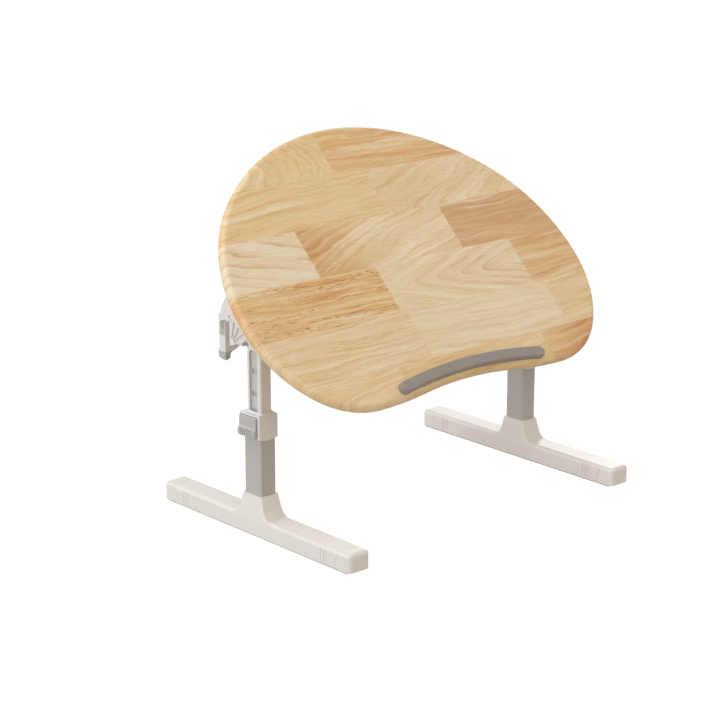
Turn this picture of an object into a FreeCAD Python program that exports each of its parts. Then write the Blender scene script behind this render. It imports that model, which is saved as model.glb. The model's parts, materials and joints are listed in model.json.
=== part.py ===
import FreeCAD, Part
import math
import os

# Folding desk: a kidney-shaped wooden top on two folding, tilting, telescoping legs.
# Millimetres. X to the right, Y to the rear, Z up, origin on the floor midway between the feet.
# The desk stands as it is used, with its top tilted. Left pieces are built, right ones mirrored.

V = FreeCAD.Vector
OVERRUN = 2.0  # how far any cutting tool runs past what it cuts
SAME_POINT = 0.0001  # two points nearer than this are one
HALF_TURN = 180.0  # degrees
QUARTER_TURN = HALF_TURN / 2

# Tabletop, in the board's own frame: x across, y up the slope, z normal, origin in the mid-plane
TILT = 45.36  # degrees that the top is tilted as it stands
BOARD_WIDTH = 600.0
BOARD_THICKNESS = 16.0
BOARD_EDGE_FLAT = 1.2  # flat band left between the two rounded edges
WIDEST_SETBACK = 50.0  # the widest line lies this far in front of the board's origin
REAR_REACH = 210.0
LOBE_REACH = 204.4
LOBE_INSET = 135.0  # the foremost point of each front lobe, in from the board's side
OVAL_JOIN = 45.0  # degrees where the two arcs of every rounded corner of the outline meet
RECESS_DEPTH = 12.0  # of the front recess, behind the foremost points

# Stop bar
BAR_LENGTH = 260.0
BAR_WIDTH = 15.5
BAR_HEIGHT = 8.5  # above the board
BAR_BEND = 700.0  # radius of its centre line
BAR_SETBACK = 14.5  # centre line behind the front edge of the recess
BAR_ROUND = 2.2
BAR_SEAT = 1.0  # depth of the seat routed for it
SEAT_CLEAR = 0.15

# Leg tubes: everything beside them is set out from the leg's centre
LEG_INSET = 58.75  # leg centre in from the board's side
LEG_BACK = 3.75  # leg centre behind the desk's origin
TUBE_TOP = 250.0
UPPER_WIDTH = 19.0
UPPER_DEPTH = 27.4
UPPER_CORNER = 3.0
UPPER_WALL = 1.4
UPPER_SINK = 75.5  # its lower end below the collar's top
CAP_HEIGHT = 3.0
CAP_LIP = 0.5
CAP_BEVEL = 0.9
RIVET_RADIUS = 1.6
RIVET_HEAD = 3.0
RIVET_HEAD_HEIGHT = 0.9
RIVET_DROP = 8.0
RIVET_PITCH = 9.0
BUSH_HEIGHT = 16.0
BUSH_FLANGE = 3.0
SLIDE_CLEAR = 0.3
PLAY_ACROSS = 2.0  # between the tubes, beside the bush
PLAY_ALONG = 1.3
LOWER_CORNER = 3.4
LOWER_WALL = 1.5
LOWER_BOTTOM = 9.0

# Slot and notch rail
SLOT_SIDE = 5.7  # tube left on each side of the slot
SLOT_CORNER = 5.0
SLOT_TOP_DROP = 4.2  # below the top of the head cap
SLOT_BOTTOM_RISE = 31.0  # above the lower end of the upper tube
RAIL_LAND = 3.0  # the rail's floor below the tube's outer face
RAIL_THICKNESS = 3.0
RAIL_FLANGE = 1.6  # the rail's flanges, beside the slot
RAIL_TOP_GAP = 1.8  # dark gap between its upper end and the top of the slot
STEP_PITCH = 30.0
STEP_COUNT = 4
STEP_NOTCH_HEIGHT = 6.6
STEP_NOTCH_SIDE = 2.25  # rail floor left on each side of a notch
STEP_NOTCH_DEPTH = 2.0

# Fold hinge under the board
FOLD_AXIS_INSET = 1.75  # fold axis in from the upper tube's inner face
PLATE_THICKNESS = 3.0
PLATE_OUTER_LEDGE = 20.0  # its edges from the fold axis
PLATE_INNER_LEDGE = 24.0
PLATE_FRONT = -120.0
PLATE_REAR = -8.0
PLATE_CORNER = 6.0
KNUCKLE_RADIUS = 4.5
KNUCKLE_SWING = 0.5  # the turning knuckles under the plate
KNUCKLE_LENGTH = 10.0
KNUCKLE_INSET = 2.0  # from the plate's ends
KNUCKLE_GAP = 0.3
CAM_LENGTH = 12.0  # the bracket's front knuckle, which carries the catch notches
FOLD_PIN_RADIUS = 2.0
PIN_FIT = 0.04  # running clearance of every pin, on the radius
SCREW_RADIUS = 1.75
SCREW_HEAD_RADIUS = 3.6
SCREW_HEAD_HEIGHT = 1.9
SCREW_BITE = 9.0  # screw length in the wood
SCREW_INSET = 9.0  # screws from the plate's long edges
SCREW_END_INSET = 30.0  # screws from the plate's ends

# Fold catch
CATCH_REACH = 17.0  # its pivot, in from the fold axis
CATCH_LOWER = 1.0  # and below it
CATCH_PIN_RADIUS = 1.5
CATCH_EYE_RADIUS = 3.2
CATCH_WIDTH = 8.0
CATCH_THICKNESS = 2.6
CATCH_TAB_REACH = 11.0
CATCH_TAB_DROP = 6.0
CATCH_LUG = 3.0
CATCH_CLEAR = 0.3  # nose to cam, and cheeks to lugs
NOTCH_DEPTH = 0.8
NOTCH_WIDTH = 3.2
LEAF_THICKNESS = 0.5
LEAF_CLEAR = 0.1  # every leaf spring from what it pushes
CATCH_SPRING_SHARE = 0.62  # how far along the tab the spring presses

# Tilt sector bracket
SKIN_REACH = 9.25  # its outer face, out from the upper tube's
SKIN_THICKNESS = 2.8
SKIN_CLEAR = 0.6  # its top edge under the board
FLANGE_GAP = 0.3
FLANGE_THICKNESS = 3.2
EAR_THICKNESS = 2.6
EAR_TURN = 70.0  # degrees of its round end on each side of the lowest point
PIVOT_DROP = 30.5  # tilt pivot below the board's underside
PIVOT_SETBACK = 54.0  # tilt pivot in front of the board's origin
SECTOR_RADIUS = 72.0
SECTOR_TAIL = 3.64  # degrees of rim beyond the last notch
SECTOR_HIGH_ANGLE = 18.0
SECTOR_BOSS = 14.0
SECTOR_BOSS_START = 215.0  # degrees
SECTOR_BOSS_END = 290.0
SECTOR_WAIST_REACH = 45.5  # inner end of the visible lower edge, behind the pivot
SECTOR_WAIST_DROP = 19.2  # and below it
SECTOR_HEEL_REACH = 30.0
SECTOR_HEEL_DROP = 15.0
SECTOR_CORNER = 2.5
SECTOR_NOSE = 8.0  # height of the bracket's front end
WINDOW_REACH = 49.6  # small sighting hole near the lower edge
WINDOW_DROP = 21.0
WINDOW_RADIUS = 1.7
RIM_WIDTH = 6.7
RIM_DEPTH = 6.0
TOOTH_DEPTH = 2.6
TOOTH_WIDTH = 4.4
TOOTH_COUNT = 5
TILT_PIN_RADIUS = 4.0
TILT_HEAD_RADIUS = 8.0
TILT_HEAD_HEIGHT = 2.4
TILT_HEAD_BEVEL = 1.1

# Leg head housing, in the desk's frame
PIVOT_RISE = 14.0  # tilt pivot above the top of the upper tube
PIVOT_LEAD = 14.25  # tilt pivot in front of the leg's centre
CHEEK_GAP = 0.3  # between the sector's skin and the housing
CHEEK_THICKNESS = 3.6
HEAD_RIM_CLEAR = 12.5  # the housing's rear edge in front of the toothed rim
CHEEK_TOP = 19.0
CHEEK_BOTTOM = 18.0
HEAD_TUBE_CLEAR = 3.45  # the back wall and the cheek's step behind the tube's cap
CHEEK_STEP_DROP = 12.2
CHEEK_MOUTH_REACH = 16.3  # the top of the mouth, behind the pivot
CHEEK_MOUTH_DROP = 2.3
HEAD_BOSS = 12.5
HEAD_BOSS_END = 310.0  # degrees
POCKET_DEPTH = 2.6
POCKET_COUNT = 4
FAN_START = 5.5  # degrees, lowest pocket of the fan
FAN_STEP = 19.0
FAN_POCKET = 13.0
FAN_NEAR = 11.0
FAN_FAR = 42.0
BLOCK_GAP = 0.3  # between the housing and the bracket's inner ear
BLOCK_TOP = 12.0
BACK_WALL_DROP = 16.0
BACK_WALL_LEDGE = 5.9  # how far the back wall reaches in past the block
ROOF_DROP = 8.0  # underside of the block over the tube, below the pivot
SPIGOT_LENGTH = 22.0
SPIGOT_SIDE_CLEAR = 0.25

# Tilt lever behind the head
LEVER_FACE_LEAD = 1.0  # the lever's face, in front of the sector's rim
LEVER_PIN_LEAD = 5.5  # its pin in front of that face
LEVER_PIN_DROP = 2.0
LEVER_PIN_RADIUS = 2.0
LEVER_EYE_RADIUS = 4.7
LEVER_EAR = 2.7
LEVER_EAR_REACH = 1.75  # outer ear, out from the leg's centre
LEVER_REACH = 8.75  # outer face, out from the leg's centre
LEVER_WIDTH = 23.5
LEVER_DEPTH = 12.2
LEVER_TOP = 7.5
LEVER_TIP_DROP = 44.5
LEVER_TIP_WIDTH = 7.6
LEVER_WEB_RISE = 15.3  # lower edge of the wide part above the tip, at its inner end
LEVER_WEB_SLOPE = 5.2
LEVER_BULGE = 2.4
LEVER_BULGE_RISE = 12.0  # above the tip
LEVER_ROUND = 3.0
PAWL_ANGLE = 12.5
PAWL_GAP = 0.3
PAWL_WIDTH = 6.0
PAWL_DEPTH = 5.0
PAWL_TOP = 19.5
GRIP_PAD = 1.3
GRIP_PAD_HEIGHT = 10.5

# Collar and rocker button
COLLAR_TOP = 163.5
COLLAR_HEIGHT = 31.0
COLLAR_OUTER_WALL = 4.95
COLLAR_INNER_WALL = 1.5
COLLAR_END_WALL = 3.3
COLLAR_SAG = 2.4  # how far its lower edge bows down in the middle
COLLAR_ROUND = 2.4
COLLAR_BEVEL = 1.1
COLLAR_LIP_HEIGHT = 2.6
COLLAR_LIP_TOP = 0.8  # thickness of the tapered lip at its top and at its foot
COLLAR_LIP_FOOT = 3.0
SLEEVE_FIT = 0.05
TUBE_SHOULDER = 12.5  # top of the lower tube below the collar's top
POCKET_WALL = 0.9  # between the lower tube and the pocket's floor
POCKET_RIM = 2.2
POCKET_TOP_RIM = 1.8
BUTTON_GAP = 0.45  # over the button
BUTTON_SIDE_GAP = 0.9  # at its front and rear ends
BUTTON_PROUD = 3.0  # upper half beyond the collar
BUTTON_BULGE = 5.9  # finger pad beyond the collar
BUTTON_PIVOT_SINK = 1.6
BUTTON_PIVOT_DROP = 16.0
BUTTON_PIN_RADIUS = 1.4
BUTTON_BACK_GAP = 0.4
BUTTON_RELIEF = 2.9
BUTTON_LOW_GAP = 1.8  # button's lower edge above the collar's
BUTTON_ROUND = 1.6
BUTTON_PAD_HEIGHT = 8.5
NOSE_HEIGHT = 5.0
NOSE_DROP = 1.2  # its top below the button's top, so that it swings clear of the window
NOSE_WIDTH = 8.0
NOSE_CLEAR = 0.3
RIB_COUNT = 6
RIB_WIDTH = 2.2
RIB_PITCH = 4.2
RIB_PROUD = 1.0
RIB_LENGTH = 10.5

# Foot
FOOT_LENGTH = 376.0
FOOT_LEDGE = 5.0  # its sides, out from the lower tube's
FOOT_TOP = 26.0
FOOT_BOTTOM = 1.5
FOOT_END_ROUND = 7.0
FOOT_EDGE_ROUND = 5.5
NECK_TOP = 54.3
NECK_SIDE_WALL = 1.7
NECK_END_WALL = 2.4
NECK_DRAFT_DROP = 15.0
NECK_DRAFT = 3.6
NECK_SPREAD = 18.0  # foot of each concave side, beyond the drafted part
NECK_CREST = 1.2
NECK_ROUND = 2.6
SOCKET_FIT = 0.05
SEAM_INSET = 20.5  # top of each end cap's seam, from the foot's end
SEAM_LEAN = 9.5
SEAM_GAP = 0.35
TONGUE_LENGTH = 12.0
TONGUE_WALL = 7.0
TONGUE_HEIGHT = 11.0
TONGUE_BASE = 6.0
GROOVE_INSET = 43.2  # last groove from the foot's end
GROOVE_PITCH = 5.0
GROOVE_COUNT = 3
GROOVE_WIDTH = 0.9
GROOVE_DEPTH = 0.7
GROOVE_BASE = 3.5
PAD_SIDE_INSET = 1.5
PAD_END_INSET = 6.0
PAD_HEIGHT = 2.3
PLUG_HEIGHT = 13.0
FOOT_SCREW_RADIUS = 2.0
FOOT_SCREW_HEAD = 4.0
FOOT_SCREW_HEAD_HEIGHT = 2.6
FOOT_SCREW_SPACING = 14.0
FOOT_SCREW_LENGTH = 17.0

# Places that follow from the sizes above
HALF_BOARD = BOARD_THICKNESS / 2
LOBE_OFFSET = BOARD_WIDTH / 2 - LOBE_INSET
LEG_OUT = BOARD_WIDTH / 2 - LEG_INSET
TILT_RAD = math.radians(TILT)
PIVOT_Y = LEG_BACK - PIVOT_LEAD
PIVOT_Z = TUBE_TOP + PIVOT_RISE
PIVOT_B = -PIVOT_SETBACK
PIVOT_N = -HALF_BOARD - PIVOT_DROP
BOARD_Y = PIVOT_Y - PIVOT_B * math.cos(TILT_RAD) + PIVOT_N * math.sin(TILT_RAD)
BOARD_Z = PIVOT_Z - PIVOT_B * math.sin(TILT_RAD) - PIVOT_N * math.cos(TILT_RAD)
FOLD_OUT = LEG_OUT - UPPER_WIDTH / 2 - FOLD_AXIS_INSET
FOLD_N = -HALF_BOARD - PLATE_THICKNESS - KNUCKLE_RADIUS - KNUCKLE_SWING
PLATE_OUTER = FOLD_OUT + PLATE_OUTER_LEDGE
PLATE_INNER = FOLD_OUT - PLATE_INNER_LEDGE
PLATE_N = -HALF_BOARD - PLATE_THICKNESS
CATCH_OUT = FOLD_OUT - CATCH_REACH
CATCH_N = FOLD_N - CATCH_LOWER
FLANGE_TOP = PLATE_N - FLANGE_GAP
FLANGE_LOW = FLANGE_TOP - FLANGE_THICKNESS
SKIN_OUT = LEG_OUT + UPPER_WIDTH / 2 + SKIN_REACH
SKIN_IN = SKIN_OUT - SKIN_THICKNESS
SECTOR_LOW_ANGLE = PAWL_ANGLE - TILT - SECTOR_TAIL
CHEEK_OUT = SKIN_IN - CHEEK_GAP
CHEEK_IN = CHEEK_OUT - CHEEK_THICKNESS
CHEEK_REAR = SECTOR_RADIUS - RIM_DEPTH - HEAD_RIM_CLEAR
CHEEK_STEP = LEG_BACK + UPPER_DEPTH / 2 + CAP_LIP + HEAD_TUBE_CLEAR
EAR_OUT = FOLD_OUT + EAR_THICKNESS
BLOCK_IN = EAR_OUT + BLOCK_GAP
BACK_WALL_INNER = BLOCK_IN - BACK_WALL_LEDGE
UPPER_OUT = LEG_OUT + UPPER_WIDTH / 2
UPPER_BOTTOM = COLLAR_TOP - UPPER_SINK
SPIGOT_OUT = UPPER_OUT - RAIL_LAND - RAIL_THICKNESS - SPIGOT_SIDE_CLEAR
SPIGOT_IN = LEG_OUT - UPPER_WIDTH / 2 + UPPER_WALL + SPIGOT_SIDE_CLEAR
SPIGOT_DEPTH = UPPER_DEPTH - 2 * UPPER_WALL - 2 * SPIGOT_SIDE_CLEAR
LOWER_WIDTH = UPPER_WIDTH + 2 * (LOWER_WALL + PLAY_ACROSS)
LOWER_DEPTH = UPPER_DEPTH + 2 * (LOWER_WALL + PLAY_ALONG)
LOWER_TOP = COLLAR_TOP - TUBE_SHOULDER
SLOT_WIDTH = UPPER_DEPTH - 2 * SLOT_SIDE
SLOT_TOP = TUBE_TOP - SLOT_TOP_DROP
SLOT_BOTTOM = UPPER_BOTTOM + SLOT_BOTTOM_RISE
COLLAR_OUT = LEG_OUT + LOWER_WIDTH / 2 + COLLAR_OUTER_WALL
COLLAR_IN = LEG_OUT - LOWER_WIDTH / 2 - COLLAR_INNER_WALL
COLLAR_HALF = LOWER_DEPTH / 2 + COLLAR_END_WALL
COLLAR_BOTTOM = COLLAR_TOP - COLLAR_HEIGHT
POCKET_FLOOR = LEG_OUT + LOWER_WIDTH / 2 + POCKET_WALL
BUTTON_PIVOT_OUT = COLLAR_OUT - BUTTON_PIVOT_SINK
BUTTON_PIVOT_HEIGHT = COLLAR_TOP - BUTTON_PIVOT_DROP
BUTTON_BOTTOM = COLLAR_BOTTOM + BUTTON_LOW_GAP
BUTTON_FACE = COLLAR_OUT + BUTTON_PROUD
BUTTON_PAD = COLLAR_OUT + BUTTON_BULGE
BUTTON_TOP = COLLAR_TOP - POCKET_TOP_RIM - BUTTON_GAP
NOSE_TOP = BUTTON_TOP - NOSE_DROP
ENGAGED_NOTCH = NOSE_TOP - NOSE_HEIGHT + STEP_NOTCH_HEIGHT / 2
LEVER_FACE = SECTOR_RADIUS - LEVER_FACE_LEAD
LEVER_PIN_REACH = LEVER_FACE - LEVER_PIN_LEAD
LEVER_OUT = LEG_OUT + LEVER_REACH
LEVER_IN = LEVER_OUT - LEVER_WIDTH
LEVER_EAR_OUTER = LEG_OUT + LEVER_EAR_REACH
FOOT_WIDTH = LOWER_WIDTH + 2 * FOOT_LEDGE
NECK_HALF_WIDTH = LOWER_WIDTH / 2 + NECK_SIDE_WALL
NECK_HALF_DEPTH = LOWER_DEPTH / 2 + NECK_END_WALL
SEAM_TOP = FOOT_LENGTH / 2 - SEAM_INSET
SEAM_BOTTOM = SEAM_TOP - SEAM_LEAN
TONGUE_WIDTH = FOOT_WIDTH - 2 * TONGUE_WALL
PAD_WIDTH = FOOT_WIDTH - 2 * PAD_SIDE_INSET
PAD_LENGTH = FOOT_LENGTH - 2 * PAD_END_INSET


def box(x0, x1, y0, y1, z0, z1):
    """A block between two corners."""
    low = V(min(x0, x1), min(y0, y1), min(z0, z1))
    return Part.makeBox(abs(x1 - x0), abs(y1 - y0), abs(z1 - z0), low)


def rod_x(y, z, radius, x0, x1):
    """A cylinder along X."""
    return Part.makeCylinder(radius, abs(x1 - x0), V(min(x0, x1), y, z), V(1, 0, 0))


def rod_y(x, z, radius, y0, y1):
    """A cylinder along Y."""
    return Part.makeCylinder(radius, abs(y1 - y0), V(x, min(y0, y1), z), V(0, 1, 0))


def rod_z(x, y, radius, z0, z1):
    """A cylinder along Z."""
    return Part.makeCylinder(radius, abs(z1 - z0), V(x, y, min(z0, z1)), V(0, 0, 1))


def around(centre, radius, degrees):
    """The point at an angle on a circle in a plane."""
    a = math.radians(degrees)
    return (centre[0] + radius * math.cos(a), centre[1] + radius * math.sin(a))


def arc(centre, radius, start, end):
    """An arc step for an outline, between two angles."""
    middle = (start + end) / 2
    return ("arc", around(centre, radius, middle), around(centre, radius, end))


def outline(points, place):
    """A closed wire through points of a plane; a point may be ("arc", middle, end)."""
    edges = []
    start = place(points[0])
    here = start
    for p in points[1:]:
        if p[0] == "arc":
            end = place(p[2])
            edges.append(Part.Arc(here, place(p[1]), end).toShape())
        else:
            end = place(p)
            edges.append(Part.makeLine(here, end))
        here = end
    if here.distanceToPoint(start) > SAME_POINT:
        edges.append(Part.makeLine(here, start))
    return Part.Wire(edges)


def slab_x(points, x0, x1):
    """A plate across X from (y, z) points."""
    face = Part.Face(outline(points, lambda p: V(min(x0, x1), p[0], p[1])))
    return face.extrude(V(abs(x1 - x0), 0, 0))


def slab_y(points, y0, y1):
    """A plate across Y from (x, z) points."""
    face = Part.Face(outline(points, lambda p: V(p[0], min(y0, y1), p[1])))
    return face.extrude(V(0, abs(y1 - y0), 0))


def slab_z(points, z0, z1):
    """A plate across Z from (x, y) points."""
    face = Part.Face(outline(points, lambda p: V(p[0], p[1], min(z0, z1))))
    return face.extrude(V(0, 0, abs(z1 - z0)))


def round_cornered(x, y, width, height, corner):
    """The points of a rectangle about a centre, its corners rounded."""
    reach = width / 2 - corner
    rise = height / 2 - corner
    points = [(x - width / 2, y - rise)]
    turn = HALF_TURN
    for side, up in ((-1, 1), (1, 1), (1, -1), (-1, -1)):
        centre = (x + side * reach, y + up * rise)
        points.append(around(centre, corner, turn))
        points.append(arc(centre, corner, turn, turn - QUARTER_TURN))
        turn -= QUARTER_TURN
    return points


def rounded_block(x, y, width, depth, z0, z1, corner):
    """An upright block about a centre, with its four upright edges rounded."""
    return slab_z(round_cornered(x, y, width, depth, corner), z0, z1)


def leaf(points, thickness):
    """The outline of a bent leaf spring that follows a run of points."""
    outer = []
    inner = []
    for i, p in enumerate(points):
        a = points[max(i - 1, 0)]
        b = points[min(i + 1, len(points) - 1)]
        normals = []
        for q, r in ((a, p), (p, b)):
            length = math.hypot(r[0] - q[0], r[1] - q[1])
            if length > 0:
                normals.append(((q[1] - r[1]) / length, (r[0] - q[0]) / length))
        m, n = normals[0], normals[-1]
        share = thickness / 2 / (1 + m[0] * n[0] + m[1] * n[1])
        step = ((m[0] + n[0]) * share, (m[1] + n[1]) * share)
        outer.append((p[0] + step[0], p[1] + step[1]))
        inner.append((p[0] - step[0], p[1] - step[1]))
    return outer + inner[::-1]


def fuse(*shapes):
    """One clean solid out of several that touch."""
    joined = shapes[0]
    for s in shapes[1:]:
        joined = joined.fuse(s)
    return joined.removeSplitter()


def on_board(shape):
    """Carries a piece from the board's own frame to where the tilted board is."""
    placed = shape.copy()
    placed.rotate(V(0, 0, 0), V(1, 0, 0), TILT)
    placed.translate(V(0, BOARD_Y, BOARD_Z))
    return placed


def mirrored(shape):
    """The same piece on the other side of the desk."""
    return shape.mirror(V(0, 0, 0), V(1, 0, 0))


def rounded_corner(side, end, centre_x, reach, rise):
    """Two arcs, tangent to each other, from a widest point of the board round to a tip."""
    join = math.radians(OVAL_JOIN)
    c, s = math.cos(join), math.sin(join)
    wide_radius = (rise * c - reach * (1 - s)) / (c + s - 1)
    tip_radius = (reach * s - rise * (1 - c)) / (c + s - 1)
    wide_centre = (reach - wide_radius, 0)
    tip_centre = (0, rise - tip_radius)
    halfway = (OVAL_JOIN + QUARTER_TURN) / 2
    runs = [
        [around(wide_centre, wide_radius, a) for a in (0, OVAL_JOIN / 2, OVAL_JOIN)],
        [around(tip_centre, tip_radius, a) for a in (OVAL_JOIN, halfway, QUARTER_TURN)],
    ]
    return [[(side * (centre_x + x), end * y - WIDEST_SETBACK) for x, y in run] for run in runs]


def board_outline(z):
    """The kidney: four rounded corners and, in front, an S curve on each side of the middle."""
    runs = []
    for side in (1, -1):
        runs += rounded_corner(side, 1, 0, BOARD_WIDTH / 2, REAR_REACH + WIDEST_SETBACK)
        runs += rounded_corner(side, -1, LOBE_OFFSET, LOBE_INSET, LOBE_REACH - WIDEST_SETBACK)
    radius = (LOBE_OFFSET ** 2 + RECESS_DEPTH ** 2) / (4 * RECESS_DEPTH)
    turn = math.degrees(math.asin(LOBE_OFFSET / 2 / radius))
    recess = (0, -LOBE_REACH + RECESS_DEPTH - radius)
    runs.append([around(recess, radius, QUARTER_TURN + a) for a in (turn, 0, -turn)])
    for side in (1, -1):
        lobe = (side * LOBE_OFFSET, -LOBE_REACH + radius)
        runs.append([around(lobe, radius, -QUARTER_TURN - side * a) for a in (0, turn / 2, turn)])
    edges = [Part.Arc(*[V(x, y, z) for x, y in run]).toShape() for run in runs]
    return Part.Wire(Part.__sortEdges__(edges))


def bar_band(width, length, z0, z1):
    """A curved band with round ends, on the centre line of the stop bar."""
    middle = -LOBE_REACH + RECESS_DEPTH + BAR_SETBACK
    centre = (0, middle - BAR_BEND)
    outer = BAR_BEND + width / 2
    inner = BAR_BEND - width / 2
    turn = math.degrees(math.asin((length - width) / 2 / BAR_BEND))
    start = QUARTER_TURN - turn
    end = QUARTER_TURN + turn
    right = around(centre, BAR_BEND, start)
    left = around(centre, BAR_BEND, end)
    points = [
        around(centre, outer, start),
        arc(centre, outer, start, end),
        ("arc", around(left, width / 2, HALF_TURN + turn), around(centre, inner, end)),
        arc(centre, inner, end, start),
        ("arc", around(right, width / 2, -turn), around(centre, outer, start)),
    ]
    return slab_z(points, z0, z1)


def screw_places():
    """The four screws of the left hinge plate, in the board's frame."""
    xs = (-PLATE_OUTER + SCREW_INSET, -PLATE_INNER - SCREW_INSET)
    ys = (PLATE_FRONT + SCREW_END_INSET, PLATE_REAR - SCREW_INSET)
    return [(x, y) for x in xs for y in ys]


def countersunk(x, y, depth):
    """A screw that rises from the plate's underside into the board."""
    cone = Part.makeCone(SCREW_HEAD_RADIUS, SCREW_RADIUS, SCREW_HEAD_HEIGHT, V(x, y, PLATE_N), V(0, 0, 1))
    return cone.fuse(rod_z(x, y, SCREW_RADIUS, PLATE_N, -HALF_BOARD + depth))


def tabletop():
    """The board with its full round edge, its bar seat and the screws' pilot holes."""
    face = Part.Face(board_outline(-HALF_BOARD))
    board = face.extrude(V(0, 0, BOARD_THICKNESS))
    rims = [e for e in board.Edges if e.BoundBox.ZLength < BOARD_EDGE_FLAT / 2]
    board = board.makeFillet(HALF_BOARD - BOARD_EDGE_FLAT / 2, rims)
    seat = bar_band(BAR_WIDTH + 2 * SEAT_CLEAR, BAR_LENGTH + 2 * SEAT_CLEAR,
                    HALF_BOARD - BAR_SEAT, HALF_BOARD + OVERRUN)
    board = board.cut(seat)
    for x, y in screw_places():
        for side in (1, -1):
            hole = rod_z(side * x, y, SCREW_RADIUS + PIN_FIT, -HALF_BOARD - OVERRUN, -HALF_BOARD + SCREW_BITE)
            board = board.cut(hole)
    return on_board(board)


def stop_bar():
    """The curved rest, with its upper rim rounded all the way round."""
    top = HALF_BOARD + BAR_HEIGHT
    bar = bar_band(BAR_WIDTH, BAR_LENGTH, HALF_BOARD - BAR_SEAT, top)
    rim = [e for e in bar.Edges if e.BoundBox.ZMin > top - BAR_SEAT]
    return on_board(bar.makeFillet(BAR_ROUND, rim))


def fixed_knuckles():
    """Where the plate's two knuckles begin and end along the fold axis."""
    front = PLATE_FRONT + KNUCKLE_INSET
    rear = PLATE_REAR - KNUCKLE_INSET
    return (front, front + KNUCKLE_LENGTH), (rear - KNUCKLE_LENGTH, rear)


def moving_knuckles():
    """Where the bracket's two knuckles begin and end, next to the plate's."""
    front, rear = fixed_knuckles()
    near = front[1] + KNUCKLE_GAP
    far = rear[0] - KNUCKLE_GAP
    return (near, near + CAM_LENGTH), (far - KNUCKLE_LENGTH, far)


def catch_span():
    """Where the catch lies along the fold axis: over the middle of the cam."""
    cam = moving_knuckles()[0]
    middle = (cam[0] + cam[1]) / 2
    return middle - CATCH_WIDTH / 2, middle + CATCH_WIDTH / 2


def hinge_plate():
    """The plate under the board: two knuckles on the fold axis and two lugs for the catch."""
    middle_x = -(PLATE_OUTER + PLATE_INNER) / 2
    middle_y = (PLATE_REAR + PLATE_FRONT) / 2
    plate = rounded_block(middle_x, middle_y, PLATE_OUTER - PLATE_INNER, PLATE_REAR - PLATE_FRONT,
                          PLATE_N, -HALF_BOARD, PLATE_CORNER)
    parts = [plate]
    for y0, y1 in fixed_knuckles():
        parts.append(rod_y(-FOLD_OUT, FOLD_N, KNUCKLE_RADIUS, y0, y1))
        parts.append(box(-FOLD_OUT - KNUCKLE_RADIUS, -FOLD_OUT + KNUCKLE_RADIUS, y0, y1, FOLD_N, PLATE_N))
    c0, c1 = catch_span()
    front = c0 - CATCH_CLEAR
    rear = c1 + CATCH_CLEAR
    for y0, y1 in ((front - CATCH_LUG, front), (rear, rear + CATCH_LUG)):
        parts.append(rod_y(-CATCH_OUT, CATCH_N, CATCH_EYE_RADIUS, y0, y1))
        parts.append(box(-CATCH_OUT - CATCH_EYE_RADIUS, -CATCH_OUT + CATCH_EYE_RADIUS,
                         y0, y1, CATCH_N, PLATE_N))
    body = fuse(*parts)
    body = body.cut(rod_y(-FOLD_OUT, FOLD_N, FOLD_PIN_RADIUS, PLATE_FRONT, PLATE_REAR))
    body = body.cut(rod_y(-CATCH_OUT, CATCH_N, CATCH_PIN_RADIUS, PLATE_FRONT, PLATE_REAR))
    for x, y in screw_places():
        body = body.cut(countersunk(x, y, OVERRUN))
    return on_board(body)


def hinge_screws():
    """Four wood screws, heads flush with the plate."""
    screws = [countersunk(x, y, SCREW_BITE - PIN_FIT).removeSplitter() for x, y in screw_places()]
    return on_board(Part.makeCompound(screws))


def fold_pins():
    """A short pin through each pair of knuckles."""
    fixed_front, fixed_rear = fixed_knuckles()
    moving_front, moving_rear = moving_knuckles()
    front = rod_y(-FOLD_OUT, FOLD_N, FOLD_PIN_RADIUS, fixed_front[0], moving_front[1])
    rear = rod_y(-FOLD_OUT, FOLD_N, FOLD_PIN_RADIUS, moving_rear[0], fixed_rear[1])
    return on_board(Part.makeCompound([front, rear]))


def fold_catch():
    """A rocking catch: nose at the cam, eye on its pin, tab for the finger."""
    c0, c1 = catch_span()
    half = CATCH_THICKNESS / 2
    nose = -FOLD_OUT + KNUCKLE_RADIUS + CATCH_CLEAR
    tab = -CATCH_OUT + CATCH_TAB_REACH
    profile = [
        (nose, CATCH_N + half),
        (-CATCH_OUT, CATCH_N + half),
        (tab, CATCH_N - CATCH_TAB_DROP + half),
        (tab, CATCH_N - CATCH_TAB_DROP - half),
        (-CATCH_OUT, CATCH_N - half),
        (nose, CATCH_N - half),
    ]
    eye = rod_y(-CATCH_OUT, CATCH_N, CATCH_EYE_RADIUS - CATCH_CLEAR, c0, c1)
    body = fuse(slab_y(profile, c0, c1), eye)
    bore = rod_y(-CATCH_OUT, CATCH_N, CATCH_PIN_RADIUS + PIN_FIT, c0 - OVERRUN, c1 + OVERRUN)
    return on_board(body.cut(bore))


def catch_pin():
    """The catch's pin, through both lugs."""
    c0, c1 = catch_span()
    reach = CATCH_CLEAR + CATCH_LUG
    return on_board(rod_y(-CATCH_OUT, CATCH_N, CATCH_PIN_RADIUS, c0 - reach, c1 + reach))


def catch_spring():
    """A bent leaf between the plate and the catch's tab."""
    c0, c1 = catch_span()
    half = LEAF_THICKNESS / 2
    root = -CATCH_OUT + CATCH_EYE_RADIUS + CATCH_CLEAR + half
    bend = -CATCH_OUT + CATCH_TAB_REACH - LEAF_THICKNESS
    tip = -CATCH_OUT + CATCH_TAB_REACH * CATCH_SPRING_SHARE
    low = CATCH_N + CATCH_THICKNESS / 2 - CATCH_TAB_DROP * CATCH_SPRING_SHARE
    run = [
        (root, PLATE_N - half),
        (bend, PLATE_N - half),
        (bend, PLATE_N - CATCH_THICKNESS),
        (tip, low + LEAF_THICKNESS),
    ]
    inset = CATCH_WIDTH / 4
    return on_board(slab_y(leaf(run, LEAF_THICKNESS), c0 + inset, c1 - inset))


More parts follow.
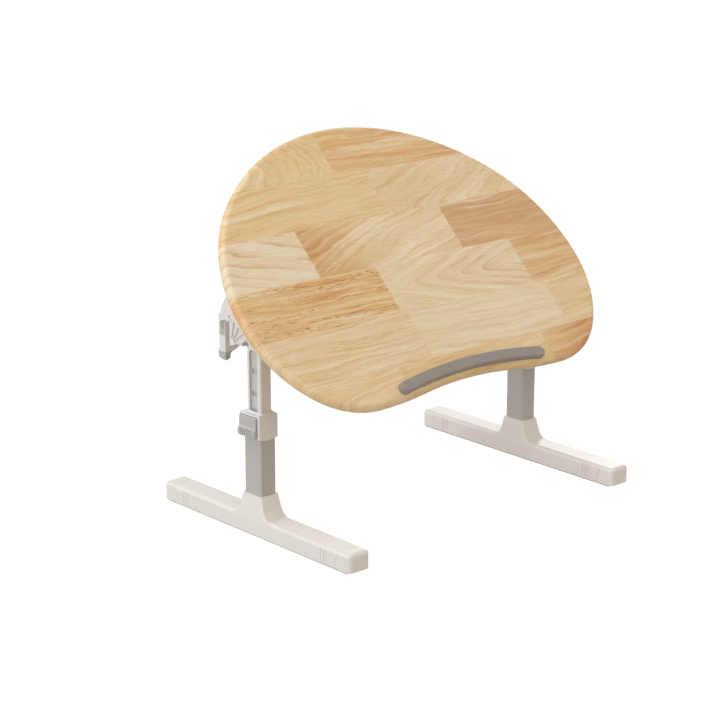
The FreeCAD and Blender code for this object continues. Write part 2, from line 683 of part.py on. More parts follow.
def sector_skin_points():
    """The bracket's side outline in the board's frame, as (y, z)."""
    pivot = (PIVOT_B, PIVOT_N)
    top = -HALF_BOARD - SKIN_CLEAR
    low = around(pivot, SECTOR_RADIUS, SECTOR_LOW_ANGLE)
    high = around(pivot, SECTOR_RADIUS, SECTOR_HIGH_ANGLE)
    waist = (PIVOT_B + SECTOR_WAIST_REACH, PIVOT_N - SECTOR_WAIST_DROP)
    heel = (PIVOT_B + SECTOR_HEEL_REACH, PIVOT_N - SECTOR_HEEL_DROP)
    return [
        (PLATE_FRONT, top),
        (PLATE_FRONT, top - SECTOR_NOSE),
        around(pivot, SECTOR_BOSS, SECTOR_BOSS_START),
        arc(pivot, SECTOR_BOSS, SECTOR_BOSS_START, SECTOR_BOSS_END),
        heel,
        waist,
        low,
        arc(pivot, SECTOR_RADIUS, SECTOR_LOW_ANGLE, SECTOR_HIGH_ANGLE),
        (high[0], top),
    ]


def tooth_angles():
    """Angles of the rim's notches in the board's frame, from steepest to flat."""
    steepest = PAWL_ANGLE - TILT
    return [steepest + TILT * i / (TOOTH_COUNT - 1) for i in range(TOOTH_COUNT)]


def ring_sector(centre, r0, r1, start, end, x0, x1):
    """A piece of a ring about an X axis, between two angles."""
    points = [
        around(centre, r1, start),
        arc(centre, r1, start, end),
        around(centre, r0, end),
        arc(centre, r0, end, start),
    ]
    return slab_x(points, x0, x1)


def sector_bracket():
    """A channel under the hinge: smooth outer skin with a toothed rim, flange, inner ear, knuckles."""
    pivot = (PIVOT_B, PIVOT_N)
    skin = slab_x(sector_skin_points(), -SKIN_OUT, -SKIN_IN)
    corner = around(pivot, SECTOR_RADIUS, SECTOR_LOW_ANGLE)
    across = [e for e in skin.Edges if e.BoundBox.YLength + e.BoundBox.ZLength < SAME_POINT]
    edges = [e for e in across
             if math.hypot(e.BoundBox.Center.y - corner[0], e.BoundBox.Center.z - corner[1]) < SECTOR_CORNER]
    skin = skin.makeFillet(SECTOR_CORNER, edges)
    flange = box(-SKIN_IN, -FOLD_OUT, PLATE_FRONT, PLATE_REAR, FLANGE_LOW, FLANGE_TOP)
    rim = ring_sector(pivot, SECTOR_RADIUS - RIM_DEPTH, SECTOR_RADIUS, SECTOR_LOW_ANGLE + SECTOR_CORNER,
                      SECTOR_HIGH_ANGLE, -SKIN_IN, -SKIN_IN + RIM_WIDTH)
    spread = math.degrees(TOOTH_WIDTH / SECTOR_RADIUS)
    for angle in tooth_angles():
        gap = [
            around(pivot, SECTOR_RADIUS - TOOTH_DEPTH, angle),
            around(pivot, SECTOR_RADIUS + OVERRUN, angle - spread),
            around(pivot, SECTOR_RADIUS + OVERRUN, angle + spread),
        ]
        rim = rim.cut(slab_x(gap, -SKIN_IN, -SKIN_IN + RIM_WIDTH + OVERRUN))
    ear_start = -QUARTER_TURN - EAR_TURN
    ear_end = -QUARTER_TURN + EAR_TURN
    ear = slab_x([
        (PIVOT_B - 2 * SECTOR_BOSS, FLANGE_LOW),
        around(pivot, HEAD_BOSS, ear_start),
        arc(pivot, HEAD_BOSS, ear_start, ear_end),
        (PIVOT_B + 2 * SECTOR_BOSS, FLANGE_LOW),
    ], -EAR_OUT, -FOLD_OUT)
    body = skin.fuse(flange).fuse(rim).fuse(ear)
    for y0, y1 in moving_knuckles():
        body = body.fuse(rod_y(-FOLD_OUT, FOLD_N, KNUCKLE_RADIUS, y0, y1))
        body = body.fuse(box(-EAR_OUT - EAR_THICKNESS, -FOLD_OUT, y0, y1, FOLD_N, FLANGE_LOW))
    clear = KNUCKLE_RADIUS + KNUCKLE_GAP
    front, rear = fixed_knuckles()
    beside = ((PLATE_FRONT - OVERRUN, front[1] + KNUCKLE_GAP), (rear[0] - KNUCKLE_GAP, PLATE_REAR + OVERRUN))
    for y0, y1 in beside:
        body = body.cut(box(-FOLD_OUT - clear, -FOLD_OUT + clear, y0, y1, FOLD_N - clear, PLATE_N))
    body = body.cut(rod_y(-FOLD_OUT, FOLD_N, FOLD_PIN_RADIUS + PIN_FIT, PLATE_FRONT, PLATE_REAR))
    body = body.cut(rod_x(PIVOT_B, PIVOT_N, TILT_PIN_RADIUS, -SKIN_OUT - OVERRUN, -FOLD_OUT + OVERRUN))
    body = body.cut(rod_x(PIVOT_B + WINDOW_REACH, PIVOT_N - WINDOW_DROP, WINDOW_RADIUS,
                          -SKIN_OUT - OVERRUN, -SKIN_IN + OVERRUN))
    c0, c1 = moving_knuckles()[0]
    for turn in (0, QUARTER_TURN):
        notch = box(-FOLD_OUT + KNUCKLE_RADIUS - NOTCH_DEPTH, -FOLD_OUT + KNUCKLE_RADIUS + OVERRUN,
                    c0 - OVERRUN, c1 + OVERRUN, FOLD_N - NOTCH_WIDTH, FOLD_N)
        notch.rotate(V(-FOLD_OUT, 0, FOLD_N), V(0, 1, 0), turn)
        body = body.cut(notch)
    return on_board(body.removeSplitter())


def tilt_pin():
    """The tilt pivot, with its flat bevelled head outside."""
    pin = rod_x(PIVOT_B, PIVOT_N, TILT_PIN_RADIUS, -SKIN_OUT, -FOLD_OUT)
    head = rod_x(PIVOT_B, PIVOT_N, TILT_HEAD_RADIUS, -SKIN_OUT - TILT_HEAD_HEIGHT, -SKIN_OUT)
    rim = [e for e in head.Edges if e.BoundBox.XMax < -SKIN_OUT - TILT_HEAD_HEIGHT / 2]
    return on_board(fuse(pin, head.makeChamfer(TILT_HEAD_BEVEL, rim)))


def fan_pocket(index):
    """One pocket between two ribs of the fan, in the cheek's outer face."""
    root = (PIVOT_Y + CHEEK_REAR, PIVOT_Z - CHEEK_BOTTOM)
    start = HALF_TURN - FAN_START - index * FAN_STEP
    return ring_sector(root, FAN_NEAR, FAN_FAR, start, start - FAN_POCKET,
                       -CHEEK_OUT - OVERRUN, -CHEEK_OUT + POCKET_DEPTH)


def spigot(low, high):
    """The housing's tenon for the upper tube, between two heights."""
    return rounded_block(-(SPIGOT_OUT + SPIGOT_IN) / 2, LEG_BACK, SPIGOT_OUT - SPIGOT_IN, SPIGOT_DEPTH,
                         low, high, UPPER_CORNER)


def leg_housing():
    """The leg's head: ribbed outer cheek, block and back wall, spigot for the tube, lever ears."""
    pivot = (PIVOT_Y, PIVOT_Z)
    rear = PIVOT_Y + CHEEK_REAR
    cheek = slab_x([
        around(pivot, HEAD_BOSS, QUARTER_TURN),
        arc(pivot, HEAD_BOSS, QUARTER_TURN, HEAD_BOSS_END),
        (PIVOT_Y + CHEEK_MOUTH_REACH, PIVOT_Z - CHEEK_MOUTH_DROP),
        (CHEEK_STEP, PIVOT_Z - CHEEK_STEP_DROP),
        (rear, PIVOT_Z - CHEEK_BOTTOM),
        (rear, PIVOT_Z + CHEEK_TOP),
        (CHEEK_STEP, PIVOT_Z + CHEEK_TOP),
    ], -CHEEK_OUT, -CHEEK_IN)
    for i in range(POCKET_COUNT):
        cheek = cheek.cut(fan_pocket(i))
    boss = rod_x(PIVOT_Y, PIVOT_Z, HEAD_BOSS, -CHEEK_IN, -BLOCK_IN)
    top = PIVOT_Z + BLOCK_TOP
    roof = box(-CHEEK_IN, -BLOCK_IN, PIVOT_Y, rear, PIVOT_Z - ROOF_DROP, top)
    wall = box(-CHEEK_IN, -BACK_WALL_INNER, CHEEK_STEP, rear, PIVOT_Z - BACK_WALL_DROP, top)
    parts = [cheek, boss, roof, wall, spigot(TUBE_TOP - SPIGOT_LENGTH, PIVOT_Z - ROOF_DROP)]
    eye = (PIVOT_Y + LEVER_PIN_REACH, PIVOT_Z - LEVER_PIN_DROP)
    for x in (-LEVER_EAR_OUTER, -BACK_WALL_INNER - LEVER_EAR):
        parts.append(rod_x(eye[0], eye[1], LEVER_EYE_RADIUS, x, x + LEVER_EAR))
        parts.append(box(x, x + LEVER_EAR, rear, eye[0],
                         eye[1] - LEVER_EYE_RADIUS, eye[1] + LEVER_EYE_RADIUS))
    body = fuse(*parts)
    body = body.cut(rod_x(PIVOT_Y, PIVOT_Z, TILT_PIN_RADIUS + PIN_FIT,
                          -CHEEK_OUT - OVERRUN, -BLOCK_IN + OVERRUN))
    ends = (-LEVER_EAR_OUTER - OVERRUN, -BACK_WALL_INNER + OVERRUN)
    body = body.cut(rod_x(eye[0], eye[1], LEVER_PIN_RADIUS, *ends))
    for y, z in rivet_places():
        body = body.cut(rod_x(y, z, RIVET_RADIUS, -UPPER_OUT, -SPIGOT_IN + OVERRUN))
    return body


def rivet_places():
    """The two rivets through the tube's inner wall and the spigot."""
    z = TUBE_TOP - RIVET_DROP
    return [(LEG_BACK - RIVET_PITCH / 2, z), (LEG_BACK + RIVET_PITCH / 2, z)]


def head_rivets():
    """Two rivets with low round heads on the tube's inner face."""
    face = -LEG_OUT + UPPER_WIDTH / 2
    rivets = []
    for y, z in rivet_places():
        shank = rod_x(y, z, RIVET_RADIUS, -SPIGOT_OUT, face)
        head = rod_x(y, z, RIVET_HEAD, face, face + RIVET_HEAD_HEIGHT)
        rivets.append(shank.fuse(head).removeSplitter())
    return Part.makeCompound(rivets)


def lever_side():
    """The handle's outline seen from the side: straight face, rounded top, bulge over the tip."""
    face = PIVOT_Y + LEVER_FACE
    back = face + LEVER_DEPTH
    top = PIVOT_Z + LEVER_TOP
    tip = PIVOT_Z - LEVER_TIP_DROP
    bulge = tip + LEVER_BULGE_RISE
    return [
        (face, top),
        (back - LEVER_ROUND, top),
        arc((back - LEVER_ROUND, top - LEVER_ROUND), LEVER_ROUND, QUARTER_TURN, 0),
        (back, bulge + 2 * LEVER_BULGE),
        (back + LEVER_BULGE, bulge),
        (back + LEVER_BULGE, tip + LEVER_DEPTH - LEVER_ROUND),
        ("arc", (back - LEVER_ROUND / 2, tip + LEVER_ROUND / 2), (face + LEVER_ROUND, tip)),
        (face, tip + LEVER_ROUND),
    ]


def lever_front():
    """The handle's outline seen from behind: wide above, one narrow finger below."""
    top = PIVOT_Z + LEVER_TOP
    tip = PIVOT_Z - LEVER_TIP_DROP
    web = tip + LEVER_WEB_RISE
    narrow = -LEVER_OUT + LEVER_TIP_WIDTH
    return [
        (-LEVER_OUT, top),
        (-LEVER_OUT, tip + LEVER_ROUND),
        (-LEVER_OUT + LEVER_ROUND, tip),
        (narrow - LEVER_ROUND / 2, tip),
        (narrow, tip + LEVER_ROUND),
        (narrow + LEVER_ROUND / 2, web - LEVER_WEB_SLOPE),
        (-LEVER_IN - LEVER_ROUND / 2, web),
        (-LEVER_IN, web + LEVER_ROUND),
        (-LEVER_IN, top),
    ]


def lever_solid():
    """The lever before its grips are split off: handle, web, eye and pawl arm."""
    face = PIVOT_Y + LEVER_FACE
    far = face + 2 * LEVER_DEPTH
    handle = slab_x(lever_side(), -LEVER_OUT, -LEVER_IN).common(slab_y(lever_front(), face - OVERRUN, far))
    eye = (PIVOT_Y + LEVER_PIN_REACH, PIVOT_Z - LEVER_PIN_DROP)
    eye_out = -LEVER_EAR_OUTER + LEVER_EAR + SLIDE_CLEAR
    eye_in = -BACK_WALL_INNER - LEVER_EAR - SLIDE_CLEAR
    knuckle = rod_x(eye[0], eye[1], LEVER_EYE_RADIUS, eye_out, eye_in)
    neck = box(eye_out, eye_in, eye[0], face + LEVER_ROUND,
               eye[1] - LEVER_EYE_RADIUS, eye[1] + LEVER_EYE_RADIUS)
    arm_in = -SKIN_IN + RIM_WIDTH
    nose = around((PIVOT_Y, PIVOT_Z), SECTOR_RADIUS + PAWL_GAP, PAWL_ANGLE)
    root = around((PIVOT_Y, PIVOT_Z), SECTOR_RADIUS + PAWL_DEPTH + LEVER_ROUND, PAWL_ANGLE)
    pawl = slab_x([
        (nose[0], nose[1]),
        (nose[0] + PAWL_DEPTH / 2, nose[1] + PAWL_DEPTH / 2),
        (face + PAWL_DEPTH, PIVOT_Z + PAWL_TOP),
        (face + PAWL_DEPTH, PIVOT_Z),
        (face + LEVER_ROUND / 2, PIVOT_Z),
        (root[0] - PAWL_DEPTH, nose[1] - PAWL_DEPTH / 2),
    ], arm_in - PAWL_WIDTH, arm_in + LEVER_ROUND)
    body = fuse(handle, knuckle, neck, pawl)
    return body.cut(rod_x(eye[0], eye[1], LEVER_PIN_RADIUS + PIN_FIT, -LEVER_OUT, -LEVER_IN))


def grip_tools():
    """What the grey grips take from the lever: the tip, and a pad on its outer face."""
    face = PIVOT_Y + LEVER_FACE
    far = face + 2 * LEVER_DEPTH
    low = PIVOT_Z - LEVER_TIP_DROP
    tip = box(-LEVER_OUT - OVERRUN, -LEVER_OUT + LEVER_TIP_WIDTH + LEVER_ROUND, face - OVERRUN, far,
              low - OVERRUN, low + LEVER_BULGE_RISE)
    pad = box(-LEVER_OUT - OVERRUN, -LEVER_OUT + GRIP_PAD, face + LEVER_ROUND / 2, far,
              PIVOT_Z - GRIP_PAD_HEIGHT, PIVOT_Z)
    return tip, pad


def lever():
    """The white part of the tilt lever."""
    tip, pad = grip_tools()
    return lever_solid().cut(tip).cut(pad)


def lever_grips():
    """The grey parts of the tilt lever."""
    whole = lever_solid()
    return Part.makeCompound([s for tool in grip_tools() for s in whole.common(tool).Solids])


def lever_pin():
    """The lever's pin, through both ears."""
    y = PIVOT_Y + LEVER_PIN_REACH
    return rod_x(y, PIVOT_Z - LEVER_PIN_DROP, LEVER_PIN_RADIUS, -LEVER_EAR_OUTER, -BACK_WALL_INNER)


def lever_spring():
    """A bent leaf between the back wall and the lever."""
    half = LEAF_THICKNESS / 2
    wall = PIVOT_Y + CHEEK_REAR + half
    face = PIVOT_Y + LEVER_FACE - LEAF_CLEAR - half
    high = PIVOT_Z - ROOF_DROP
    low = PIVOT_Z - BACK_WALL_DROP
    middle = (-LEVER_OUT - LEVER_IN) / 2
    run = [(wall, high), (wall, low), (face, low - LEVER_ROUND), (face, low - 2 * LEVER_ROUND)]
    span = LEVER_TIP_WIDTH / 2
    return slab_x(leaf(run, LEAF_THICKNESS), middle - span, middle + span)


def leg_block(width, depth, z0, z1, corner):
    """A round-cornered block about the left leg's centre."""
    return rounded_block(-LEG_OUT, LEG_BACK, width, depth, z0, z1, corner)


def tube(width, depth, corner, wall, z0, z1):
    """A tube with rounded corners about the left leg's centre."""
    inner = leg_block(width - 2 * wall, depth - 2 * wall, z0 - OVERRUN, z1 + OVERRUN, corner - wall / 2)
    return leg_block(width, depth, z0, z1, corner).cut(inner)


def upper_tube():
    """The white tube with its long slot in the outer face."""
    body = tube(UPPER_WIDTH, UPPER_DEPTH, UPPER_CORNER, UPPER_WALL, UPPER_BOTTOM, TUBE_TOP - CAP_HEIGHT)
    slot = round_cornered(LEG_BACK, (SLOT_TOP + SLOT_BOTTOM) / 2,
                          SLOT_WIDTH, SLOT_TOP - SLOT_BOTTOM, SLOT_CORNER)
    body = body.cut(slab_x(slot, -UPPER_OUT - OVERRUN, -UPPER_OUT + UPPER_WALL + OVERRUN))
    for y, z in rivet_places():
        body = body.cut(rod_x(y, z, RIVET_RADIUS, -LEG_OUT, -LEG_OUT + UPPER_WIDTH))
    return body


def tube_head_cap():
    """The white ring that caps the upper tube round the spigot."""
    low = TUBE_TOP - CAP_HEIGHT
    cap = leg_block(UPPER_WIDTH + 2 * CAP_LIP, UPPER_DEPTH + 2 * CAP_LIP, low, TUBE_TOP, UPPER_CORNER)
    rim = [e for e in cap.Edges if e.BoundBox.ZMin > TUBE_TOP - CAP_LIP]
    return cap.makeChamfer(CAP_BEVEL, rim).cut(spigot(low - OVERRUN, TUBE_TOP + OVERRUN))


def notch_rail():
    """The grey rail behind the slot: a channel with two flanges, and height notches in its floor."""
    inside = -UPPER_OUT + UPPER_WALL
    floor = -UPPER_OUT + RAIL_LAND
    half = SLOT_WIDTH / 2
    reach = half + RAIL_FLANGE
    high = SLOT_TOP - RAIL_TOP_GAP
    body = box(inside, floor + RAIL_THICKNESS, LEG_BACK - reach, LEG_BACK + reach,
               SLOT_BOTTOM - RAIL_FLANGE, high)
    body = body.cut(box(inside - OVERRUN, floor, LEG_BACK - half, LEG_BACK + half,
                        SLOT_BOTTOM, high + OVERRUN))
    across = half - STEP_NOTCH_SIDE
    for i in range(STEP_COUNT):
        z = ENGAGED_NOTCH + (i - 1) * STEP_PITCH
        body = body.cut(box(inside - OVERRUN, floor + STEP_NOTCH_DEPTH, LEG_BACK - across, LEG_BACK + across,
                            z - STEP_NOTCH_HEIGHT / 2, z + STEP_NOTCH_HEIGHT / 2))
    return body


def glide_bush():
    """The bush at the upper tube's lower end: a flange that glides in the lower tube, and a plug."""
    width = LOWER_WIDTH - 2 * LOWER_WALL - 2 * SLIDE_CLEAR
    depth = LOWER_DEPTH - 2 * LOWER_WALL - 2 * SLIDE_CLEAR
    flange = leg_block(width, depth, UPPER_BOTTOM - BUSH_FLANGE, UPPER_BOTTOM, UPPER_CORNER)
    plug = leg_block(UPPER_WIDTH - 2 * UPPER_WALL, UPPER_DEPTH - 2 * UPPER_WALL,
                     UPPER_BOTTOM, UPPER_BOTTOM + BUSH_HEIGHT, UPPER_CORNER - UPPER_WALL / 2)
    hollow = leg_block(UPPER_WIDTH - 4 * UPPER_WALL, UPPER_DEPTH - 4 * UPPER_WALL,
                       UPPER_BOTTOM + BUSH_FLANGE, UPPER_BOTTOM + BUSH_HEIGHT + OVERRUN, UPPER_CORNER / 2)
    return fuse(flange, plug).cut(hollow)


def lower_tube():
    """The grey tube, from the foot's socket up into the collar."""
    return tube(LOWER_WIDTH, LOWER_DEPTH, LOWER_CORNER, LOWER_WALL, LOWER_BOTTOM, LOWER_TOP)


def collar_lip():
    """The low tapered lip on the collar's top, round the upper tube."""
    wires = []
    for z, wall in ((COLLAR_TOP, COLLAR_LIP_FOOT), (COLLAR_TOP + COLLAR_LIP_HEIGHT, COLLAR_LIP_TOP)):
        reach = SLIDE_CLEAR + wall
        ring = round_cornered(-LEG_OUT, LEG_BACK, UPPER_WIDTH + 2 * reach, UPPER_DEPTH + 2 * reach,
                              UPPER_CORNER + reach)
        wires.append(outline(ring, lambda p, height=z: V(p[0], p[1], height)))
    return Part.makeLoft(wires, True, True)


def collar():
    """The white sleeve: bores for both tubes, tapered lip, bowed lower edge, pocket for the button."""
    front = LEG_BACK - COLLAR_HALF
    rear = LEG_BACK + COLLAR_HALF
    low = COLLAR_BOTTOM - COLLAR_SAG
    middle = -(COLLAR_OUT + COLLAR_IN) / 2
    bowed = slab_y([
        (-COLLAR_OUT, COLLAR_TOP),
        (-COLLAR_OUT, COLLAR_BOTTOM),
        ("arc", (middle, low), (-COLLAR_IN, COLLAR_BOTTOM)),
        (-COLLAR_IN, COLLAR_TOP),
    ], front, rear)
    block = rounded_block(middle, LEG_BACK, COLLAR_OUT - COLLAR_IN, 2 * COLLAR_HALF,
                          low - OVERRUN, COLLAR_TOP, COLLAR_ROUND)
    body = bowed.common(block)
    rim = [e for e in body.Edges if e.BoundBox.ZMin > COLLAR_TOP - COLLAR_SAG]
    body = fuse(body.makeChamfer(COLLAR_BEVEL, rim), collar_lip())
    sleeve = leg_block(LOWER_WIDTH + 2 * SLEEVE_FIT, LOWER_DEPTH + 2 * SLEEVE_FIT,
                       low - OVERRUN, LOWER_TOP, LOWER_CORNER)
    bore = leg_block(UPPER_WIDTH + 2 * SLIDE_CLEAR, UPPER_DEPTH + 2 * SLIDE_CLEAR,
                     low, COLLAR_TOP + COLLAR_LIP_HEIGHT + OVERRUN, UPPER_CORNER)
    pocket = box(-COLLAR_OUT - OVERRUN, -POCKET_FLOOR, front + POCKET_RIM, rear - POCKET_RIM,
                 low - OVERRUN, COLLAR_TOP - POCKET_TOP_RIM)
    window = box(-POCKET_FLOOR - OVERRUN, -UPPER_OUT + OVERRUN,
                 LEG_BACK - NOSE_WIDTH / 2 - SLIDE_CLEAR, LEG_BACK + NOSE_WIDTH / 2 + SLIDE_CLEAR,
                 LOWER_TOP + POCKET_TOP_RIM, COLLAR_TOP - POCKET_TOP_RIM)
    body = body.cut(sleeve).cut(bore).cut(pocket).cut(window)
    return body.cut(button_pin())


def height_button():
    """The rocker button: finger pad with ribs below its pin, latch nose above it."""
    front = LEG_BACK - COLLAR_HALF + POCKET_RIM + BUTTON_SIDE_GAP
    rear = LEG_BACK + COLLAR_HALF - POCKET_RIM - BUTTON_SIDE_GAP
    back = -POCKET_FLOOR - BUTTON_BACK_GAP
    relieved = back - BUTTON_RELIEF
    pad_top = BUTTON_BOTTOM + BUTTON_PAD_HEIGHT
    profile = [
        (-BUTTON_FACE + BUTTON_ROUND, BUTTON_TOP),
        (-BUTTON_FACE, BUTTON_TOP - BUTTON_ROUND),
        (-BUTTON_FACE, BUTTON_PIVOT_HEIGHT),
        (-BUTTON_PAD, pad_top),
        (-BUTTON_PAD, BUTTON_BOTTOM + BUTTON_ROUND),
        (-BUTTON_PAD + BUTTON_ROUND, BUTTON_BOTTOM),
        (relieved, BUTTON_BOTTOM),
        (relieved, BUTTON_PIVOT_HEIGHT - BUTTON_PAD_HEIGHT),
        (back, BUTTON_PIVOT_HEIGHT),
        (back, BUTTON_TOP),
    ]
    body = slab_y(profile, front, rear)
    ends = [e for e in body.Edges
            if e.BoundBox.XMax < -BUTTON_PIVOT_OUT - BUTTON_ROUND and e.BoundBox.YLength < SAME_POINT]
    body = body.makeFillet(BUTTON_ROUND, ends)
    nose = box(back - BUTTON_GAP, -UPPER_OUT + RAIL_LAND - NOSE_CLEAR, LEG_BACK - NOSE_WIDTH / 2,
               LEG_BACK + NOSE_WIDTH / 2, NOSE_TOP - NOSE_HEIGHT, NOSE_TOP)
    parts = [body, nose]
    for i in range(RIB_COUNT):
        y = LEG_BACK + (i - (RIB_COUNT - 1) / 2) * RIB_PITCH
        parts.append(rod_z(-BUTTON_PAD + RIB_WIDTH / 2 - RIB_PROUD, y, RIB_WIDTH / 2,
                           BUTTON_BOTTOM + BUTTON_ROUND, BUTTON_BOTTOM + RIB_LENGTH))
    bore = rod_y(-BUTTON_PIVOT_OUT, BUTTON_PIVOT_HEIGHT, BUTTON_PIN_RADIUS + PIN_FIT,
                 front - OVERRUN, rear + OVERRUN)
    return fuse(*parts).cut(bore)


def button_pin():
    """The rocker's pin, held in the collar's two side walls."""
    reach = COLLAR_HALF - POCKET_RIM / 2
    return rod_y(-BUTTON_PIVOT_OUT, BUTTON_PIVOT_HEIGHT, BUTTON_PIN_RADIUS,
                 LEG_BACK - reach, LEG_BACK + reach)


def button_spring():
    """A bowed leaf behind the finger pad."""
    floor = -POCKET_FLOOR
    crest = floor - BUTTON_BACK_GAP - BUTTON_RELIEF + LEAF_CLEAR
    low = BUTTON_BOTTOM + BUTTON_ROUND
    high = BUTTON_BOTTOM + BUTTON_PAD_HEIGHT - BUTTON_ROUND
    middle = (low + high) / 2
    points = [
        (floor, low),
        ("arc", (crest, middle), (floor, high)),
        (floor, high - LEAF_THICKNESS),
        ("arc", (crest + LEAF_THICKNESS, middle), (floor, low + LEAF_THICKNESS)),
    ]
    return slab_y(points, LEG_BACK - NOSE_WIDTH / 2, LEG_BACK + NOSE_WIDTH / 2)


def foot_bar():
    """The foot's bar with round ends and edges, before the caps are split off."""
    bar = rounded_block(-LEG_OUT, 0, FOOT_WIDTH, FOOT_LENGTH, FOOT_BOTTOM, FOOT_TOP, FOOT_END_ROUND)
    rim = [e for e in bar.Edges if e.BoundBox.ZMin > FOOT_TOP - FOOT_EDGE_ROUND]
    return bar.makeFillet(FOOT_EDGE_ROUND, rim).cut(foot_pad())


def foot_neck():
    """The neck: drafted top, concave sides that run out on the bar, tapered flanks, soft corners."""
    drafted = NECK_HALF_DEPTH + NECK_DRAFT
    bend_top = NECK_TOP - NECK_DRAFT_DROP
    toe = drafted + NECK_SPREAD
    base = FOOT_TOP - FOOT_EDGE_ROUND
    crest = FOOT_TOP - NECK_CREST
    bulge = math.sin(math.radians(QUARTER_TURN / 2))
    arc_y = toe - NECK_SPREAD * bulge
    arc_z = bend_top - (bend_top - crest) * bulge
    side = slab_x([
        (LEG_BACK - NECK_HALF_DEPTH, NECK_TOP),
        (LEG_BACK - drafted, bend_top),
        ("arc", (LEG_BACK - arc_y, arc_z), (LEG_BACK - toe, crest)),
        (LEG_BACK - toe, base),
        (LEG_BACK + toe, base),
        (LEG_BACK + toe, crest),
        ("arc", (LEG_BACK + arc_y, arc_z), (LEG_BACK + drafted, bend_top)),
        (LEG_BACK + NECK_HALF_DEPTH, NECK_TOP),
    ], -LEG_OUT - FOOT_WIDTH / 2, -LEG_OUT + FOOT_WIDTH / 2)
    flank = slab_y([
        (-LEG_OUT - NECK_HALF_WIDTH, NECK_TOP),
        (-LEG_OUT - FOOT_WIDTH / 2, base),
        (-LEG_OUT + FOOT_WIDTH / 2, base),
        (-LEG_OUT + NECK_HALF_WIDTH, NECK_TOP),
    ], LEG_BACK - toe - OVERRUN, LEG_BACK + toe + OVERRUN)
    neck = side.common(flank)
    corners = [e for e in neck.Edges
               if min(e.BoundBox.XLength, e.BoundBox.YLength, e.BoundBox.ZLength) > SAME_POINT]
    return neck.makeFillet(NECK_ROUND, corners)


def seam_cut(side, gap):
    """Everything beyond the slanted seam of an end cap, moved outwards by a gap."""
    far = FOOT_LENGTH / 2 + OVERRUN
    high = FOOT_TOP + OVERRUN
    low = FOOT_BOTTOM - OVERRUN
    over = SEAM_LEAN / (FOOT_TOP - FOOT_BOTTOM) * OVERRUN
    top = SEAM_TOP + over + gap
    bottom = SEAM_BOTTOM - over + gap
    points = [(side * top, high), (side * far, high), (side * far, low), (side * bottom, low)]
    return slab_x(points, -LEG_OUT - FOOT_WIDTH, -LEG_OUT + FOOT_WIDTH)


def tongue(side):
    """The tongue of an end cap, plugged into the foot's bar."""
    return box(-LEG_OUT - TONGUE_WIDTH / 2, -LEG_OUT + TONGUE_WIDTH / 2,
               side * (SEAM_BOTTOM - TONGUE_LENGTH), side * (SEAM_TOP + OVERRUN),
               TONGUE_BASE, TONGUE_BASE + TONGUE_HEIGHT)


def foot():
    """Bar and neck in one, with the tube's socket, grooves, and the sockets of the end caps."""
    body = fuse(foot_bar(), foot_neck())
    last = FOOT_LENGTH / 2 - GROOVE_INSET
    for side in (-1, 1):
        body = body.cut(seam_cut(side, 0))
        body = body.cut(tongue(side))
        for i in range(GROOVE_COUNT):
            y = side * (last - i * GROOVE_PITCH)
            for x in (-LEG_OUT - FOOT_WIDTH / 2, -LEG_OUT + FOOT_WIDTH / 2):
                body = body.cut(box(x - GROOVE_DEPTH, x + GROOVE_DEPTH,
                                    y - GROOVE_WIDTH / 2, y + GROOVE_WIDTH / 2,
                                    GROOVE_BASE, FOOT_TOP + OVERRUN))
    socket = leg_block(LOWER_WIDTH + 2 * SOCKET_FIT, LOWER_DEPTH + 2 * SOCKET_FIT,
                       LOWER_BOTTOM, NECK_TOP + OVERRUN, LOWER_CORNER)
    body = body.cut(socket)
    for x, y in foot_screw_places():
        body = body.cut(rod_z(x, y, FOOT_SCREW_RADIUS, PAD_HEIGHT, LOWER_BOTTOM + OVERRUN))
        body = body.cut(rod_z(x, y, FOOT_SCREW_HEAD, PAD_HEIGHT - OVERRUN,
                              PAD_HEIGHT + FOOT_SCREW_HEAD_HEIGHT))
    return body


def foot_end_caps():
    """The two end caps of the foot, each with its tongue."""
    bar = foot_bar()
    caps = []
    for side in (-1, 1):
        cap = bar.common(seam_cut(side, SEAM_GAP))
        caps.append(fuse(cap, tongue(side).common(bar)))
    return Part.makeCompound(caps)


def foot_pad():
    """The anti-slip strip in its recess, on the floor."""
    return box(-LEG_OUT - PAD_WIDTH / 2, -LEG_OUT + PAD_WIDTH / 2,
               -PAD_LENGTH / 2, PAD_LENGTH / 2, 0, PAD_HEIGHT)


def foot_screw_places():
    """The two screws under the foot, in line with the leg."""
    half = FOOT_SCREW_SPACING / 2
    return [(-LEG_OUT, LEG_BACK - half), (-LEG_OUT, LEG_BACK + half)]


def tube_plug():
    """The plug inside the lower tube that takes the foot's screws."""
    body = leg_block(LOWER_WIDTH - 2 * LOWER_WALL, LOWER_DEPTH - 2 * LOWER_WALL,
                     LOWER_BOTTOM, LOWER_BOTTOM + PLUG_HEIGHT, LOWER_CORNER - LOWER_WALL / 2)
    for x, y in foot_screw_places():
        body = body.cut(rod_z(x, y, FOOT_SCREW_RADIUS, LOWER_BOTTOM - OVERRUN,
                              PAD_HEIGHT + FOOT_SCREW_LENGTH))
    return body


def foot_screws():
    """The two screws from below, heads above the strip."""
    screws = []
    for x, y in foot_screw_places():
        head = rod_z(x, y, FOOT_SCREW_HEAD, PAD_HEIGHT, PAD_HEIGHT + FOOT_SCREW_HEAD_HEIGHT)
        shank = rod_z(x, y, FOOT_SCREW_RADIUS, PAD_HEIGHT, PAD_HEIGHT + FOOT_SCREW_LENGTH)
        screws.append(head.fuse(shank).removeSplitter())
    return Part.makeCompound(screws)


